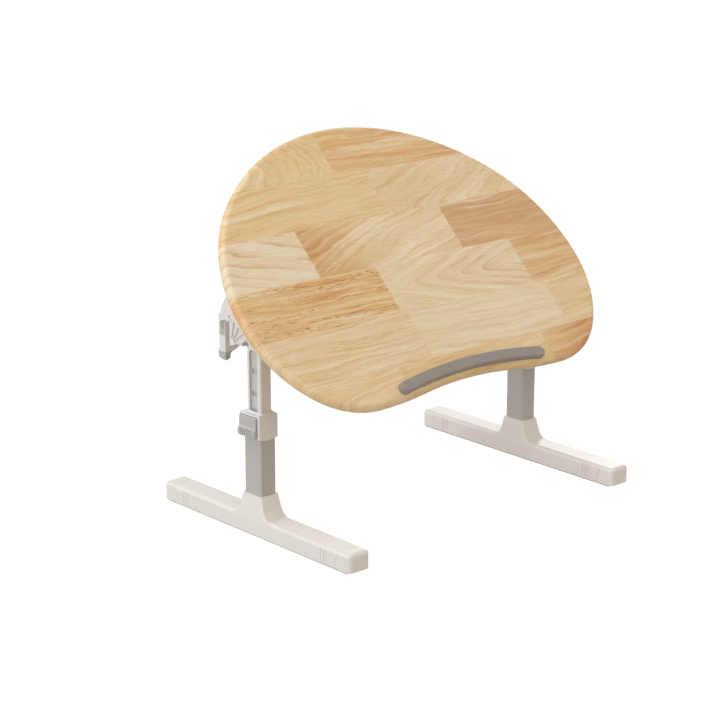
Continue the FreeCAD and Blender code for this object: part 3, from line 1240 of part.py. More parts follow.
SIDE_PIECES = {
    "hinge_plate": hinge_plate,
    "hinge_screws": hinge_screws,
    "fold_pins": fold_pins,
    "fold_catch": fold_catch,
    "catch_pin": catch_pin,
    "catch_spring": catch_spring,
    "sector_bracket": sector_bracket,
    "tilt_pin": tilt_pin,
    "leg_housing": leg_housing,
    "lever": lever,
    "lever_grips": lever_grips,
    "lever_pin": lever_pin,
    "lever_spring": lever_spring,
    "upper_tube": upper_tube,
    "tube_head_cap": tube_head_cap,
    "head_rivets": head_rivets,
    "notch_rail": notch_rail,
    "glide_bush": glide_bush,
    "lower_tube": lower_tube,
    "collar": collar,
    "height_button": height_button,
    "button_pin": button_pin,
    "button_spring": button_spring,
    "foot": foot,
    "foot_end_caps": foot_end_caps,
    "foot_pad": foot_pad,
    "tube_plug": tube_plug,
    "foot_screws": foot_screws,
}


def build():
    """Writes every piece: the top's own, then each side piece and its mirror image."""
    os.makedirs("parts", exist_ok=True)
    tabletop().exportStep("parts/tabletop.step")
    stop_bar().exportStep("parts/stop_bar.step")
    for name, make in SIDE_PIECES.items():
        piece = make()
        piece.exportStep("parts/left_" + name + ".step")
        mirrored(piece).exportStep("parts/right_" + name + ".step")


build()
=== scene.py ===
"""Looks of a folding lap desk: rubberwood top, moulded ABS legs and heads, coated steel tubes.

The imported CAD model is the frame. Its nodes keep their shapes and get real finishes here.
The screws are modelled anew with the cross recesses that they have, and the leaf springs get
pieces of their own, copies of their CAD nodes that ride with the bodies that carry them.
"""

import json
import math

import bpy
from bpy.props import FloatProperty, FloatVectorProperty, PointerProperty, StringProperty
from mathutils import Matrix, Vector


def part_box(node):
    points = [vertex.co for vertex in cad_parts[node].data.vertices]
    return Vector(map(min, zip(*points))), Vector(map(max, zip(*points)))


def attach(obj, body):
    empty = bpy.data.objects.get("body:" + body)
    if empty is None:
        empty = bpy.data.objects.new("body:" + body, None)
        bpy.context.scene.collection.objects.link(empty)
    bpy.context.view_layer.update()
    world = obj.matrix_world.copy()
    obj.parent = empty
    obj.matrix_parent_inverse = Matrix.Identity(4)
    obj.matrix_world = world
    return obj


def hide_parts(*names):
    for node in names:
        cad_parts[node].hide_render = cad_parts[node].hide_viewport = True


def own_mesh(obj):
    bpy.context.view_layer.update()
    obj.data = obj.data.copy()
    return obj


bl_info = {
    "name": "Folding lap desk",
    "version": (1, 1, 0),
    "blender": (4, 5, 0),
    "location": "3D View > Sidebar > Desk",
    "description": "Dresses a folding lap desk in wood, moulded plastic and coated steel",
    "category": "Object",
}

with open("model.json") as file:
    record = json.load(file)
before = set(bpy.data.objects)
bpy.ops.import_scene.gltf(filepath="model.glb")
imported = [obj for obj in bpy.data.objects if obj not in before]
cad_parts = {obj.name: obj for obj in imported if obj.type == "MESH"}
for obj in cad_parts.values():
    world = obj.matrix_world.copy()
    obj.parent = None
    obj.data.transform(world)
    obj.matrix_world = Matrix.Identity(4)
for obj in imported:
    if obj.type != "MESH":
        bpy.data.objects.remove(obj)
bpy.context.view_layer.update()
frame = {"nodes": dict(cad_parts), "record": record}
nodes = frame["nodes"]
surface = next(m for m in frame["record"]["mounts"] if m["name"] == "tabletop_surface")
slope_normal = Vector(surface["axis"])
board_tilt = math.atan2(-slope_normal.y, slope_normal.z)
board_surface = Vector(surface["pos_m"])

SIDES = (("left", -1), ("right", 1))
RING_LEAN = 0.6  # how far the growth rings shift for each unit of depth through the board
SPARK_DEPTH = 0.05  # depth of the plastic's grain against its width
GLOW_SHARE = 0.75  # share of the floor that shows plain white; the rest shows light and shadow
GLOW_LIFT = 0.2  # what brings that rest up to white where no shadow falls
LIGHT_AIM = (0.0, 0.0, 0.2)  # what the soft lights point at, in metres
FACING = 0.9  # from here on a normal's z counts as pointing straight up
SCREW_POINT = (0.18, 0.12)  # a screw's point: its share of the shank's length, its width at the tip
PAN_EDGE = (0.35, 3)  # rounding of a pan head's edge as a share of its height, and its segments
FLAT_EDGE = (0.1, 1)  # the same for a countersunk head
RECESS_BAR = (0.26, 0.62)  # a recess's bar: its width against its length, its depth against the head
RECESS_TAPER = (0.45, 0.7)  # what a recess's bar keeps at its bottom of its length and its width

# The soft lights: name, property that holds the power, place and disk size in metres, colour.
SOFTBOXES = (
    ("key_softbox", "key_power", (-7.7, -0.4, 1.35), 2.6, "#F7F9FF"),
    ("front_softbox", "front_power", (-0.6, -4.2, 3.2), 2.6, "#FFF1E2"),
    ("top_softbox", "top_power", (-1.2, 0.6, 4.2), 2.6, "#FFFFFF"),
    ("rim_softbox", "rim_power", (-2.4, 3.6, 1.9), 1.4, "#FFFFFF"),
    ("back_softbox", "back_power", (5.0, 3.5, 1.8), 2.4, "#FFFFFF"),
)

# The board's lamellas: one row per entry, from the front row to the rear one. Each plank gives
# where it starts along the width in mm;
# its look: tone (0 cream to 1 brown), vessel dashes, contrast of its growth rings;
# its figure: apex along the width in mm, apex up the row as a share of it, bend of the rings;
# its touch: roundness of the apex in mm, brown stain near the apex, distance between rings in mm.
PLANK_ROWS = (
    ((-300, 0.42, 0.25, 0.35, -200, 3.0, 0.10, 10, 0.00, 8.0),
     (-112, 0.50, 0.35, 0.35, 0, -1.5, -0.06, 10, 0.10, 7.0),
     (150, 0.60, 0.35, 0.45, 222, 1.6, 0.12, 10, 0.80, 8.0)),
    ((-300, 0.26, 0.45, 0.40, -160, 2.6, 0.03, 9, 0.00, 6.0),
     (-47.5, 0.14, 0.15, 0.25, 60, 2.8, -0.03, 10, 0.00, 12.0),
     (207.5, 0.38, 0.25, 0.30, 250, 2.2, 0.10, 10, 0.05, 8.0)),
    ((-300, 0.55, 1.00, 0.45, -180, 2.4, -0.02, 7, 0.15, 5.0),
     (-58.5, 0.24, 0.15, 1.00, 58, 0.52, -0.26, 4, 0.00, 11.5),
     (191.5, 0.66, 0.40, 0.65, 240, 2.6, 0.06, 9, 0.25, 9.0)),
    ((-300, 0.00, 0.00, 1.00, -290, 3.0, -0.30, 9, 0.00, 17.0),
     (-151, 0.30, 0.30, 0.30, -149, -2.6, -0.30, 12, 1.00, 15.0),
     (104, 0.94, 0.30, 0.40, 180, 3.0, 0.03, 12, 0.10, 14.0)),
    ((-300, 0.48, 0.30, 0.35, -120, -2.6, -0.07, 10, 0.10, 14.0),
     (15, 0.28, 0.25, 0.65, 30, 0.02, -0.36, 12, 0.30, 14.0)),
    ((-300, 0.48, 0.15, 0.60, -30, 0.45, 0.75, 20, 0.10, 15.0),
     (-36, 0.62, 0.55, 0.55, 60, 2.6, -0.04, 9, 0.05, 7.0)),
)

# The least and the most of a plank's nine values, because a colour ramp holds them as shares of 0 to 1.
PLANK_SPANS = ((0, 1), (0, 1), (0, 1), (-300, 300), (-3, 3), (-1, 1), (0, 30), (0, 1), (0, 20))


def linear(code):
    """An sRGB hex colour as linear red, green, blue and alpha."""
    parts = [int(code[i:i + 2], 16) / 255 for i in (1, 3, 5)]
    return tuple(c / 12.92 if c <= 0.04045 else ((c + 0.055) / 1.055) ** 2.4 for c in parts) + (1.0,)


def shaded(code, share):
    """An sRGB hex colour as linear red, green, blue and alpha, with a share of its light."""
    return tuple(c * share for c in linear(code)[:3]) + (1.0,)


def per_mm(size):
    """The texture scale that gives features of a size in millimetres."""
    return 1000.0 / size


def add_node(tree, kind, settings):
    """Adds a shader node. Lower-case keys are its own settings, and stops those of a colour ramp;
    other keys are its inputs. A socket given as a value is linked, and a node by its first output."""
    node = tree.nodes.new("ShaderNode" + kind)
    for key, value in settings.items():
        if isinstance(value, bpy.types.Node):
            value = value.outputs[0]
        if isinstance(value, bpy.types.NodeSocket):
            tree.links.new(value, node.inputs[key])
        elif key == "stops":
            elements = node.color_ramp.elements
            while len(elements) < len(value):
                elements.new(1.0)
            for element, (place, colour) in zip(elements, value):
                element.position = place
                element.color = colour
        elif isinstance(key, str) and key[0].islower():
            setattr(node, key, value)
        else:
            node.inputs[key].default_value = value
    return node


def new_material(name):
    """A material with an empty node tree."""
    material = bpy.data.materials.new(name)
    material.use_nodes = True
    material.node_tree.nodes.clear()
    return material, material.node_tree


def shown_directly(tree):
    """One where a ray comes from the camera, a mirror reflection or a clear piece, and zero elsewhere."""
    rays = add_node(tree, "LightPath", {})
    shown = rays.outputs["Is Camera Ray"]
    for other in ("Is Glossy Ray", "Is Transmission Ray"):
        shown = add_node(tree, "Math", {"operation": "MAXIMUM", 0: shown, 1: rays.outputs[other]})
    return shown


def dress(material, *names):
    """Gives the material to whole CAD nodes."""
    for name in names:
        mesh = nodes[name].data
        mesh.materials.clear()
        mesh.materials.append(material)


def both(*names):
    """Node names for the left and the right side."""
    return [f"{side}_{name}" for side, _ in SIDES for name in names]


def plank_values(tree, wood, across, up):
    """Three colours that hold the nine values of the plank at a place, read from PLANK_ROWS."""
    half = wood.board_width / 2
    share = add_node(tree, "MapRange", {"Value": across, "From Min": -half, "From Max": half})
    above = [add_node(tree, "Math", {
        "operation": "GREATER_THAN", 0: up, 1: wood.first_row + index * wood.lamella_width})
        for index in range(1, len(PLANK_ROWS))]
    found = []
    for sheet in range(3):
        chosen = None
        for index, row in enumerate(PLANK_ROWS):
            stops = []
            for start, *values in row:
                shares = [(value - low) / (high - low)
                          for value, (low, high) in zip(values, PLANK_SPANS)]
                stops.append(((start / 1000 + half) / wood.board_width,
                              (*shares[sheet * 3:sheet * 3 + 3], 1.0)))
            ramp = add_node(tree, "ValToRGB", {"Fac": share, "stops": stops})
            ramp.color_ramp.interpolation = "CONSTANT"
            if chosen is None:
                chosen = ramp.outputs[0]
            else:
                chosen = add_node(tree, "Mix", {
                    "data_type": "RGBA", 0: above[index - 1], 6: chosen, 7: ramp}).outputs[2]
        found.append(chosen)
    return found


def rubberwood(wood):
    """Finger-jointed rubberwood, planed and clear lacquered: pale tan lamellas, short brown vessel lines,
    growth rings that arch where a plank was cut near the heart, and a thin satin lacquer.
    Real vessels are 0.3 mm wide and fibres finer still, too fine for a picture of the whole board,
    so the dashes are drawn 1.1 mm wide and the fibres 0.9 mm, the least that shows."""
    material, tree = new_material("rubberwood_clear_lacquer")
    place = add_node(tree, "TexCoord", {}).outputs["Object"]
    # the board's own coordinates: along its width, up its slope, through it
    board = add_node(tree, "Mapping", {
        "vector_type": "TEXTURE", "Vector": place, "Location": board_surface,
        "Rotation": (board_tilt, 0.0, 0.0)})
    across, up, through = add_node(tree, "SeparateXYZ", {"Vector": board}).outputs

    # finger joints: the plank ends run in and out in small teeth
    tooth = wood.finger_pitch / 2
    teeth = add_node(tree, "Math", {"operation": "PINGPONG", 0: up, 1: tooth})
    toothed = add_node(tree, "Math", {
        "operation": "MULTIPLY_ADD", 0: teeth, 1: wood.finger_length / tooth, 2: across})
    look, figure, touch = plank_values(tree, wood, toothed, up)
    tone, vessels, contrast = add_node(tree, "SeparateColor", {"Color": look}).outputs
    apex_share, apex_up, bend_share = add_node(tree, "SeparateColor", {"Color": figure}).outputs
    round_share, stain, ring_share = add_node(tree, "SeparateColor", {"Color": touch}).outputs
    # a ramp holds shares of 0 to 1, so the figure's measures are opened out again
    measures = []
    for share, index, unit in (
        (apex_share, 3, 0.001), (apex_up, 4, wood.lamella_width), (bend_share, 5, 1.0),
        (round_share, 6, 0.001), (ring_share, 8, 0.001),
    ):
        low, high = PLANK_SPANS[index]
        measures.append(add_node(tree, "MapRange", {
            "Value": share, "To Min": low * unit, "To Max": high * unit}))
    apex_place, apex_height, bend, roundness, ring_pitch = measures

    # every plank has its own piece of the tree
    seed = add_node(tree, "VectorMath", {
        "operation": "MULTIPLY_ADD", 0: look, 1: (17.0, 23.0, 31.0), 2: figure})

    def grain(coordinates, cell, detail):
        """A layer of the tree's figure, with cells of a size in mm along the three coordinates.
        Its values lie mostly between 0.25 and 0.75, and every mask below takes a part of that."""
        stretched = add_node(tree, "VectorMath", {
            "operation": "MULTIPLY_ADD", 0: coordinates, 1: tuple(per_mm(size) for size in cell), 2: seed})
        return add_node(tree, "TexNoise", {"Vector": stretched, "Scale": 1.0, "Detail": detail})

    # growth rings: hyperbolas round the apex of the figure, which wander as the tree grew
    from_first = add_node(tree, "Math", {"operation": "SUBTRACT", 0: up, 1: wood.first_row})
    in_row = add_node(tree, "Math", {
        "operation": "FLOORED_MODULO", 0: from_first, 1: wood.lamella_width})
    aside = add_node(tree, "Math", {"operation": "SUBTRACT", 0: in_row, 1: apex_height})
    along = add_node(tree, "Math", {"operation": "SUBTRACT", 0: across, 1: apex_place})
    rounded = add_node(tree, "CombineXYZ", {"X": aside, "Y": roundness})
    opened = add_node(tree, "VectorMath", {"operation": "LENGTH", 0: rounded}).outputs["Value"]
    arched = add_node(tree, "Math", {"operation": "MULTIPLY_ADD", 0: along, 1: bend, 2: opened})
    wander = add_node(tree, "MapRange", {
        "Value": grain(board, (150.0, 42.0, 42.0), 2.0), "From Min": 0.25, "From Max": 0.75,
        "To Min": -wood.ring_wander, "To Max": wood.ring_wander})
    wandered = add_node(tree, "Math", {
        "operation": "MULTIPLY_ADD", 0: wander, 1: roundness, 2: arched})
    tremble = add_node(tree, "MapRange", {
        "Value": grain(board, (34.0, 9.0, 9.0), 2.0), "From Min": 0.25, "From Max": 0.75,
        "To Min": -wood.ring_tremble, "To Max": wood.ring_tremble})
    trembled = add_node(tree, "Math", {"operation": "ADD", 0: wandered, 1: tremble})
    # the rings lean as they pass through the board
    ring_place = add_node(tree, "Math", {
        "operation": "MULTIPLY_ADD", 0: through, 1: RING_LEAN, 2: trembled})
    ring_count = add_node(tree, "Math", {"operation": "DIVIDE", 0: ring_place, 1: ring_pitch})
    ring = add_node(tree, "Math", {"operation": "FRACT", 0: ring_count})
    late_wood = add_node(tree, "ValToRGB", {"Fac": ring, "stops": [
        (0.0, linear("#000000")), (0.45, (0.10, 0.10, 0.10, 1.0)), (0.76, (0.50, 0.50, 0.50, 1.0)),
        (0.88, linear("#FFFFFF")), (1.0, linear("#000000"))]})
    # outside its outermost arch a figured plank runs plain
    from_apex = add_node(tree, "MapRange", {"Value": trembled, "From Min": 0.0, "From Max": 0.1})
    figured = add_node(tree, "ValToRGB", {"Fac": from_apex, "stops": [
        (0.05, linear("#FFFFFF")), (0.14, (0.12, 0.12, 0.12, 1.0)),
        (0.75, (0.12, 0.12, 0.12, 1.0)), (1.0, linear("#FFFFFF"))]})
    fading = add_node(tree, "MapRange", {
        "Value": grain(board, (60.0, 20.0, 20.0), 1.0), "From Min": 0.36, "From Max": 0.62,
        "To Min": 0.12, "To Max": 1.0})
    ring_mask = late_wood
    for share in (contrast, figured, fading, wood.ring_strength):
        ring_mask = add_node(tree, "Math", {"operation": "MULTIPLY", 0: ring_mask, 1: share})

    # bands and streaks that follow the rings, and straight fibres, drawn coarser than real
    flow = add_node(tree, "CombineXYZ", {"X": along, "Y": ring_place})
    band = grain(flow, (160.0, 7.0, 7.0), 3.0)
    streak = grain(flow, (60.0, 1.6, 1.6), 2.0)
    fibre = grain(board, (17.0, 0.9, 0.9), 3.0)
    lively = add_node(tree, "MapRange", {"Value": vessels, "To Min": 0.25, "To Max": 1.0})
    band_share = add_node(tree, "MapRange", {
        "Value": band, "From Min": 0.45, "From Max": 0.68, "To Max": wood.band_strength})
    band_mask = add_node(tree, "Math", {"operation": "MULTIPLY", 0: band_share, 1: lively})
    streak_share = add_node(tree, "MapRange", {
        "Value": streak, "From Min": 0.45, "From Max": 0.75, "To Max": wood.streak_strength})
    streak_mask = add_node(tree, "Math", {"operation": "MULTIPLY", 0: streak_share, 1: lively})
    pale_mask = add_node(tree, "MapRange", {
        "Value": grain(flow, (300.0, 11.0, 11.0), 2.0), "From Min": 0.56, "From Max": 0.66,
        "To Max": wood.pale_strength})
    fibre_mask = add_node(tree, "MapRange", {
        "Value": fibre, "From Min": 0.45, "From Max": 0.80, "To Max": wood.fibre_strength})

    # the brown stain near an apex runs out along the bands
    distance = add_node(tree, "Math", {"operation": "ABSOLUTE", 0: along})
    reach = add_node(tree, "MapRange", {
        "Value": distance, "From Min": 0.004, "From Max": wood.stain_reach, "To Min": 1.0, "To Max": 0.0})
    ragged = add_node(tree, "MapRange", {
        "Value": band, "From Min": 0.25, "From Max": 0.65, "To Min": 0.25, "To Max": 1.1})
    stain_share = add_node(tree, "Math", {"operation": "MULTIPLY", 0: stain, 1: reach})
    stain_mask = add_node(tree, "Math", {"operation": "MULTIPLY", 0: stain_share, 1: ragged})

    # vessels, drawn coarser than real: short dark dashes that gather in some bands
    dash = add_node(tree, "MapRange", {
        "Value": grain(board, (11.0, 1.1, 1.1), 1.0), "From Min": 0.57, "From Max": 0.66})
    gather = add_node(tree, "MapRange", {
        "Value": grain(board, (190.0, 8.0, 8.0), 1.0), "From Min": 0.42, "From Max": 0.62})
    rich = add_node(tree, "Math", {"operation": "POWER", 0: vessels, 1: 2.0})
    vessel_mask = dash
    for share in (gather, rich, wood.vessel_strength):
        vessel_mask = add_node(tree, "Math", {"operation": "MULTIPLY", 0: vessel_mask, 1: share})

    # the plank's tone drifts along it, and every mask lays its tint over it
    cloud = add_node(tree, "MapRange", {
        "Value": grain(board, (120.0, 45.0, 45.0), 2.0), "From Min": 0.3, "From Max": 0.7,
        "To Min": -wood.cloud_strength, "To Max": wood.cloud_strength})
    drifted = add_node(tree, "Math", {"operation": "ADD", 0: tone, 1: cloud})
    colour = add_node(tree, "ValToRGB", {"Fac": drifted, "stops": [
        (0.0, linear(wood.cream)), (0.25, linear(wood.straw)), (0.5, linear(wood.honey)),
        (0.75, linear(wood.tan)), (1.0, linear(wood.brown))]}).outputs[0]
    for mask, tint, way in (
        (band_mask, wood.late_tint, "MULTIPLY"), (pale_mask, wood.sapwood, "MIX"),
        (ring_mask, wood.ring_tint, "MULTIPLY"), (streak_mask, wood.late_tint, "MULTIPLY"),
        (fibre_mask, wood.late_tint, "MULTIPLY"), (stain_mask, wood.stain_tint, "MULTIPLY"),
        (vessel_mask, wood.vessel_tint, "MULTIPLY"),
    ):
        colour = add_node(tree, "Mix", {
            "data_type": "RGBA", "blend_type": way, 0: mask, 6: colour, 7: linear(tint)}).outputs[2]

    relief = add_node(tree, "Math", {"operation": "SUBTRACT", 0: fibre, 1: vessel_mask})
    bump = add_node(tree, "Bump", {"Height": relief, "Distance": wood.relief_depth, "Strength": 0.3})
    shader = add_node(tree, "BsdfPrincipled", {
        "Base Color": colour, "Roughness": 0.6, "IOR": 1.45, "Coat Weight": 0.25,
        "Coat Roughness": 0.32, "Normal": bump})
    add_node(tree, "OutputMaterial", {"Surface": shader})
    return material


def moulded(name, colour, grain, roughness, mottle=0.03):
    """A moulded plastic: fine even spark grain, a very slight drift in tone, soft broad highlights.
    The grain is 0.1 mm on real parts, and is drawn about 1 mm wide so that it shows."""
    material, tree = new_material(name)
    place = add_node(tree, "TexCoord", {}).outputs["Object"]
    drift = add_node(tree, "TexNoise", {"Vector": place, "Scale": per_mm(45.0), "Detail": 2.0})
    spark = add_node(tree, "TexNoise", {"Vector": place, "Scale": per_mm(grain), "Detail": 2.0})
    tint = add_node(tree, "Mix", {
        "data_type": "RGBA", 0: drift, 6: shaded(colour, 1.0 - mottle), 7: linear(colour)})
    uneven = add_node(tree, "MapRange", {
        "Value": spark, "To Min": roughness - 0.05, "To Max": roughness + 0.07})
    bump = add_node(tree, "Bump", {
        "Height": spark, "Distance": grain / 1000.0 * SPARK_DEPTH, "Strength": 0.25})
    shader = add_node(tree, "BsdfPrincipled", {
        "Base Color": tint.outputs[2], "Roughness": uneven, "IOR": 1.54, "Normal": bump})
    add_node(tree, "OutputMaterial", {"Surface": shader})
    return material


def powder_coat(name, colour, roughness):
    """Powder coat on a steel tube: even colour under a faint orange peel with waves of 1.6 mm,
    faint drawing lines along the tube, and a touch more gloss than the plastic."""
    material, tree = new_material(name)
    place = add_node(tree, "TexCoord", {}).outputs["Object"]
    peel = add_node(tree, "TexNoise", {"Vector": place, "Scale": per_mm(1.6), "Detail": 1.0})
    draw = add_node(tree, "VectorMath", {
        "operation": "MULTIPLY", 0: place, 1: (per_mm(2.5), per_mm(2.5), per_mm(120.0))})
    lines = add_node(tree, "TexNoise", {"Vector": draw, "Scale": 1.0, "Detail": 2.0})
    tint = add_node(tree, "Mix", {
        "data_type": "RGBA", 0: lines, 6: shaded(colour, 0.94), 7: linear(colour)})
    bump = add_node(tree, "Bump", {"Height": peel, "Distance": 0.00006, "Strength": 0.2})
    shader = add_node(tree, "BsdfPrincipled", {
        "Base Color": tint.outputs[2], "Roughness": roughness, "IOR": 1.5,
        "Coat Weight": 0.15, "Coat Roughness": 0.15, "Normal": bump})
    add_node(tree, "OutputMaterial", {"Surface": shader})
    return material


def zinc_plated(name, colour, line):
    """Zinc-plated steel: bright grey metal with rolling lines and cloudy patches of 9 mm. A line's size is
    in mm along x, y and z. Real lines are 0.1 mm wide, and are drawn 0.7 to 0.8 mm wide so that they show."""
    material, tree = new_material(name)
    place = add_node(tree, "TexCoord", {}).outputs["Object"]
    stretched = add_node(tree, "VectorMath", {
        "operation": "MULTIPLY", 0: place, 1: tuple(per_mm(size) for size in line)})
    lines = add_node(tree, "TexNoise", {"Vector": stretched, "Scale": 1.0, "Detail": 2.0})
    cloud = add_node(tree, "TexNoise", {"Vector": place, "Scale": per_mm(9.0), "Detail": 3.0})
    tint = add_node(tree, "Mix", {
        "data_type": "RGBA", 0: cloud, 6: shaded(colour, 0.78), 7: linear(colour)})
    uneven = add_node(tree, "MapRange", {"Value": lines, "To Min": 0.26, "To Max": 0.46})
    bump = add_node(tree, "Bump", {"Height": lines, "Distance": 0.00002, "Strength": 0.3})
    shader = add_node(tree, "BsdfPrincipled", {
        "Base Color": tint.outputs[2], "Metallic": 1.0, "Roughness": uneven, "Normal": bump})
    add_node(tree, "OutputMaterial", {"Surface": shader})
    return material


def foam_rubber(name, colour):
    """Closed-cell anti-slip rubber: dull charcoal with small cells.
    They are 0.4 mm wide on real strips, and are drawn 0.9 mm wide so that they show."""
    material, tree = new_material(name)
    place = add_node(tree, "TexCoord", {}).outputs["Object"]
    cells = add_node(tree, "TexVoronoi", {"Vector": place, "Scale": per_mm(0.9)})
    tint = add_node(tree, "Mix", {
        "data_type": "RGBA", 0: cells, 6: linear(colour), 7: shaded(colour, 1.5)})
    bump = add_node(tree, "Bump", {"Height": cells, "Distance": 0.0001, "Strength": 0.5})
    shader = add_node(tree, "BsdfPrincipled", {
        "Base Color": tint.outputs[2], "Roughness": 0.85, "Normal": bump})
    add_node(tree, "OutputMaterial", {"Surface": shader})
    return material


# Every finish is made once, by the first piece that asks for it. Sizes are in mm.
FINISHES = {
    "white_abs_spark_grain": lambda f, name: moulded(name, f.white_plastic, 0.9, 0.42),
    "grey_abs_satin": lambda f, name: moulded(name, f.grey_plastic, 0.8, 0.45),
    "grey_nylon_rail": lambda f, name: moulded(name, f.rail_plastic, 0.8, 0.40),
    "warm_grey_soft_touch": lambda f, name: moulded(name, f.bar_plastic, 1.2, 0.55, mottle=0.12),
    "white_powder_coat": lambda f, name: powder_coat(name, f.white_tube, 0.38),
    "grey_powder_coat": lambda f, name: powder_coat(name, f.grey_tube, 0.36),
    "zinc_plated_sheet": lambda f, name: zinc_plated(name, f.steel, (60.0, 0.8, 0.8)),
    "zinc_plated_wire": lambda f, name: zinc_plated(name, f.steel, (0.7, 8.0, 0.7)),
    "charcoal_eva_strip": lambda f, name: foam_rubber(name, f.rubber),
}


def finish(context, name):
    """The finish of that name, made when it is first asked for."""
    return bpy.data.materials.get(name) or FINISHES[name](context.scene.desk_finish, name)


def select_faces(mesh_object, wanted):
    """Selects the faces that a test of their centre and normal picks, in edit mode."""
    bpy.ops.object.mode_set(mode="EDIT")
    bpy.ops.mesh.select_mode(type="FACE")
    bpy.ops.mesh.select_all(action="DESELECT")
    bpy.ops.object.mode_set(mode="OBJECT")
    for face in mesh_object.data.polygons:
        face.select = wanted(face.center, face.normal)
    bpy.ops.object.mode_set(mode="EDIT")


def recess_cutter(width, length, depth):
    """One tapered bar of a cross recess, sunk into the head's face."""
    bpy.ops.object.select_all(action="DESELECT")
    bpy.ops.mesh.primitive_cube_add(size=1.0, location=(0.0, 0.0, 0.0))
    cutter = bpy.context.active_object
    cutter.scale = (length, width, 2 * depth)
    bpy.ops.object.transform_apply(location=True, rotation=True, scale=True)
    select_faces(cutter, lambda centre, normal: normal.z > FACING)
    bpy.ops.transform.resize(value=(*RECESS_TAPER, 1.0), center_override=(0.0, 0.0, depth))
    bpy.ops.object.mode_set(mode="OBJECT")
    return cutter


def cross_recess_screw(head_radius, head_height, shank_radius, length, drive, pan):
    """A screw that points up from the origin, with a cross recess in the head's face at the bottom.
    A pan head is a drum with a rounded edge, and the other kind is a countersunk cone."""
    bpy.ops.object.select_all(action="DESELECT")
    bpy.ops.mesh.primitive_cone_add(
        vertices=40, radius1=head_radius, radius2=head_radius if pan else shank_radius,
        depth=head_height, location=(0.0, 0.0, head_height / 2))
    screw = bpy.context.active_object
    select_faces(screw, lambda centre, normal: normal.z > FACING)
    if pan:
        bpy.ops.mesh.inset(thickness=head_radius - shank_radius)
    point_share, tip_width = SCREW_POINT
    for share in (1.0 - point_share, point_share):
        bpy.ops.mesh.extrude_region_move(
            TRANSFORM_OT_translate={"value": (0.0, 0.0, (length - head_height) * share)})
    bpy.ops.transform.resize(value=(tip_width, tip_width, 1.0), center_override=(0.0, 0.0, length))
    select_faces(screw, lambda centre, normal: normal.z < -FACING)
    rounding, segments = PAN_EDGE if pan else FLAT_EDGE
    bpy.ops.mesh.bevel(offset=head_height * rounding, segments=segments)
    bpy.ops.object.mode_set(mode="OBJECT")
    width, depth = RECESS_BAR
    for turn in (0.0, math.pi / 2):
        cutter = recess_cutter(drive * width, drive, head_height * depth)
        cutter.rotation_euler.z = turn
        bpy.ops.object.transform_apply(location=True, rotation=True, scale=True)
        bpy.ops.object.select_all(action="DESELECT")
        bpy.context.view_layer.objects.active = screw
        screw.select_set(True)
        cut = screw.modifiers.new("recess", "BOOLEAN")
        cut.operation = "DIFFERENCE"
        cut.object = cutter
        bpy.ops.object.modifier_apply(modifier=cut.name)
        bpy.data.objects.remove(cutter, do_unlink=True)
    bpy.ops.object.shade_smooth_by_angle(angle=math.radians(35.0))
    return screw


def set_of_screws(name, pattern, places):
    """Copies one screw to its places and joins the copies under one name."""
    copies = []
    for place in places:
        copy = bpy.data.objects.new(name, pattern.data.copy())
        bpy.context.collection.objects.link(copy)
        copy.data.transform(place)
        copies.append(copy)
    bpy.ops.object.select_all(action="DESELECT")
    for copy in copies:
        copy.select_set(True)
    bpy.context.view_layer.objects.active = copies[0]
    bpy.ops.object.join()
    copies[0].name = name
    return copies[0]


def sprung_leaf(context, name, body):
    """Stands for a leaf spring: a copy of its CAD node on a mesh of its own, which rides with the body, while
    the CAD node is hidden.
    """
    leaf = bpy.data.objects.new(name.replace("spring", "leaf"), nodes[name].data.copy())
    context.collection.objects.link(leaf)
    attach(leaf, body)
    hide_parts(name)
    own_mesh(leaf)


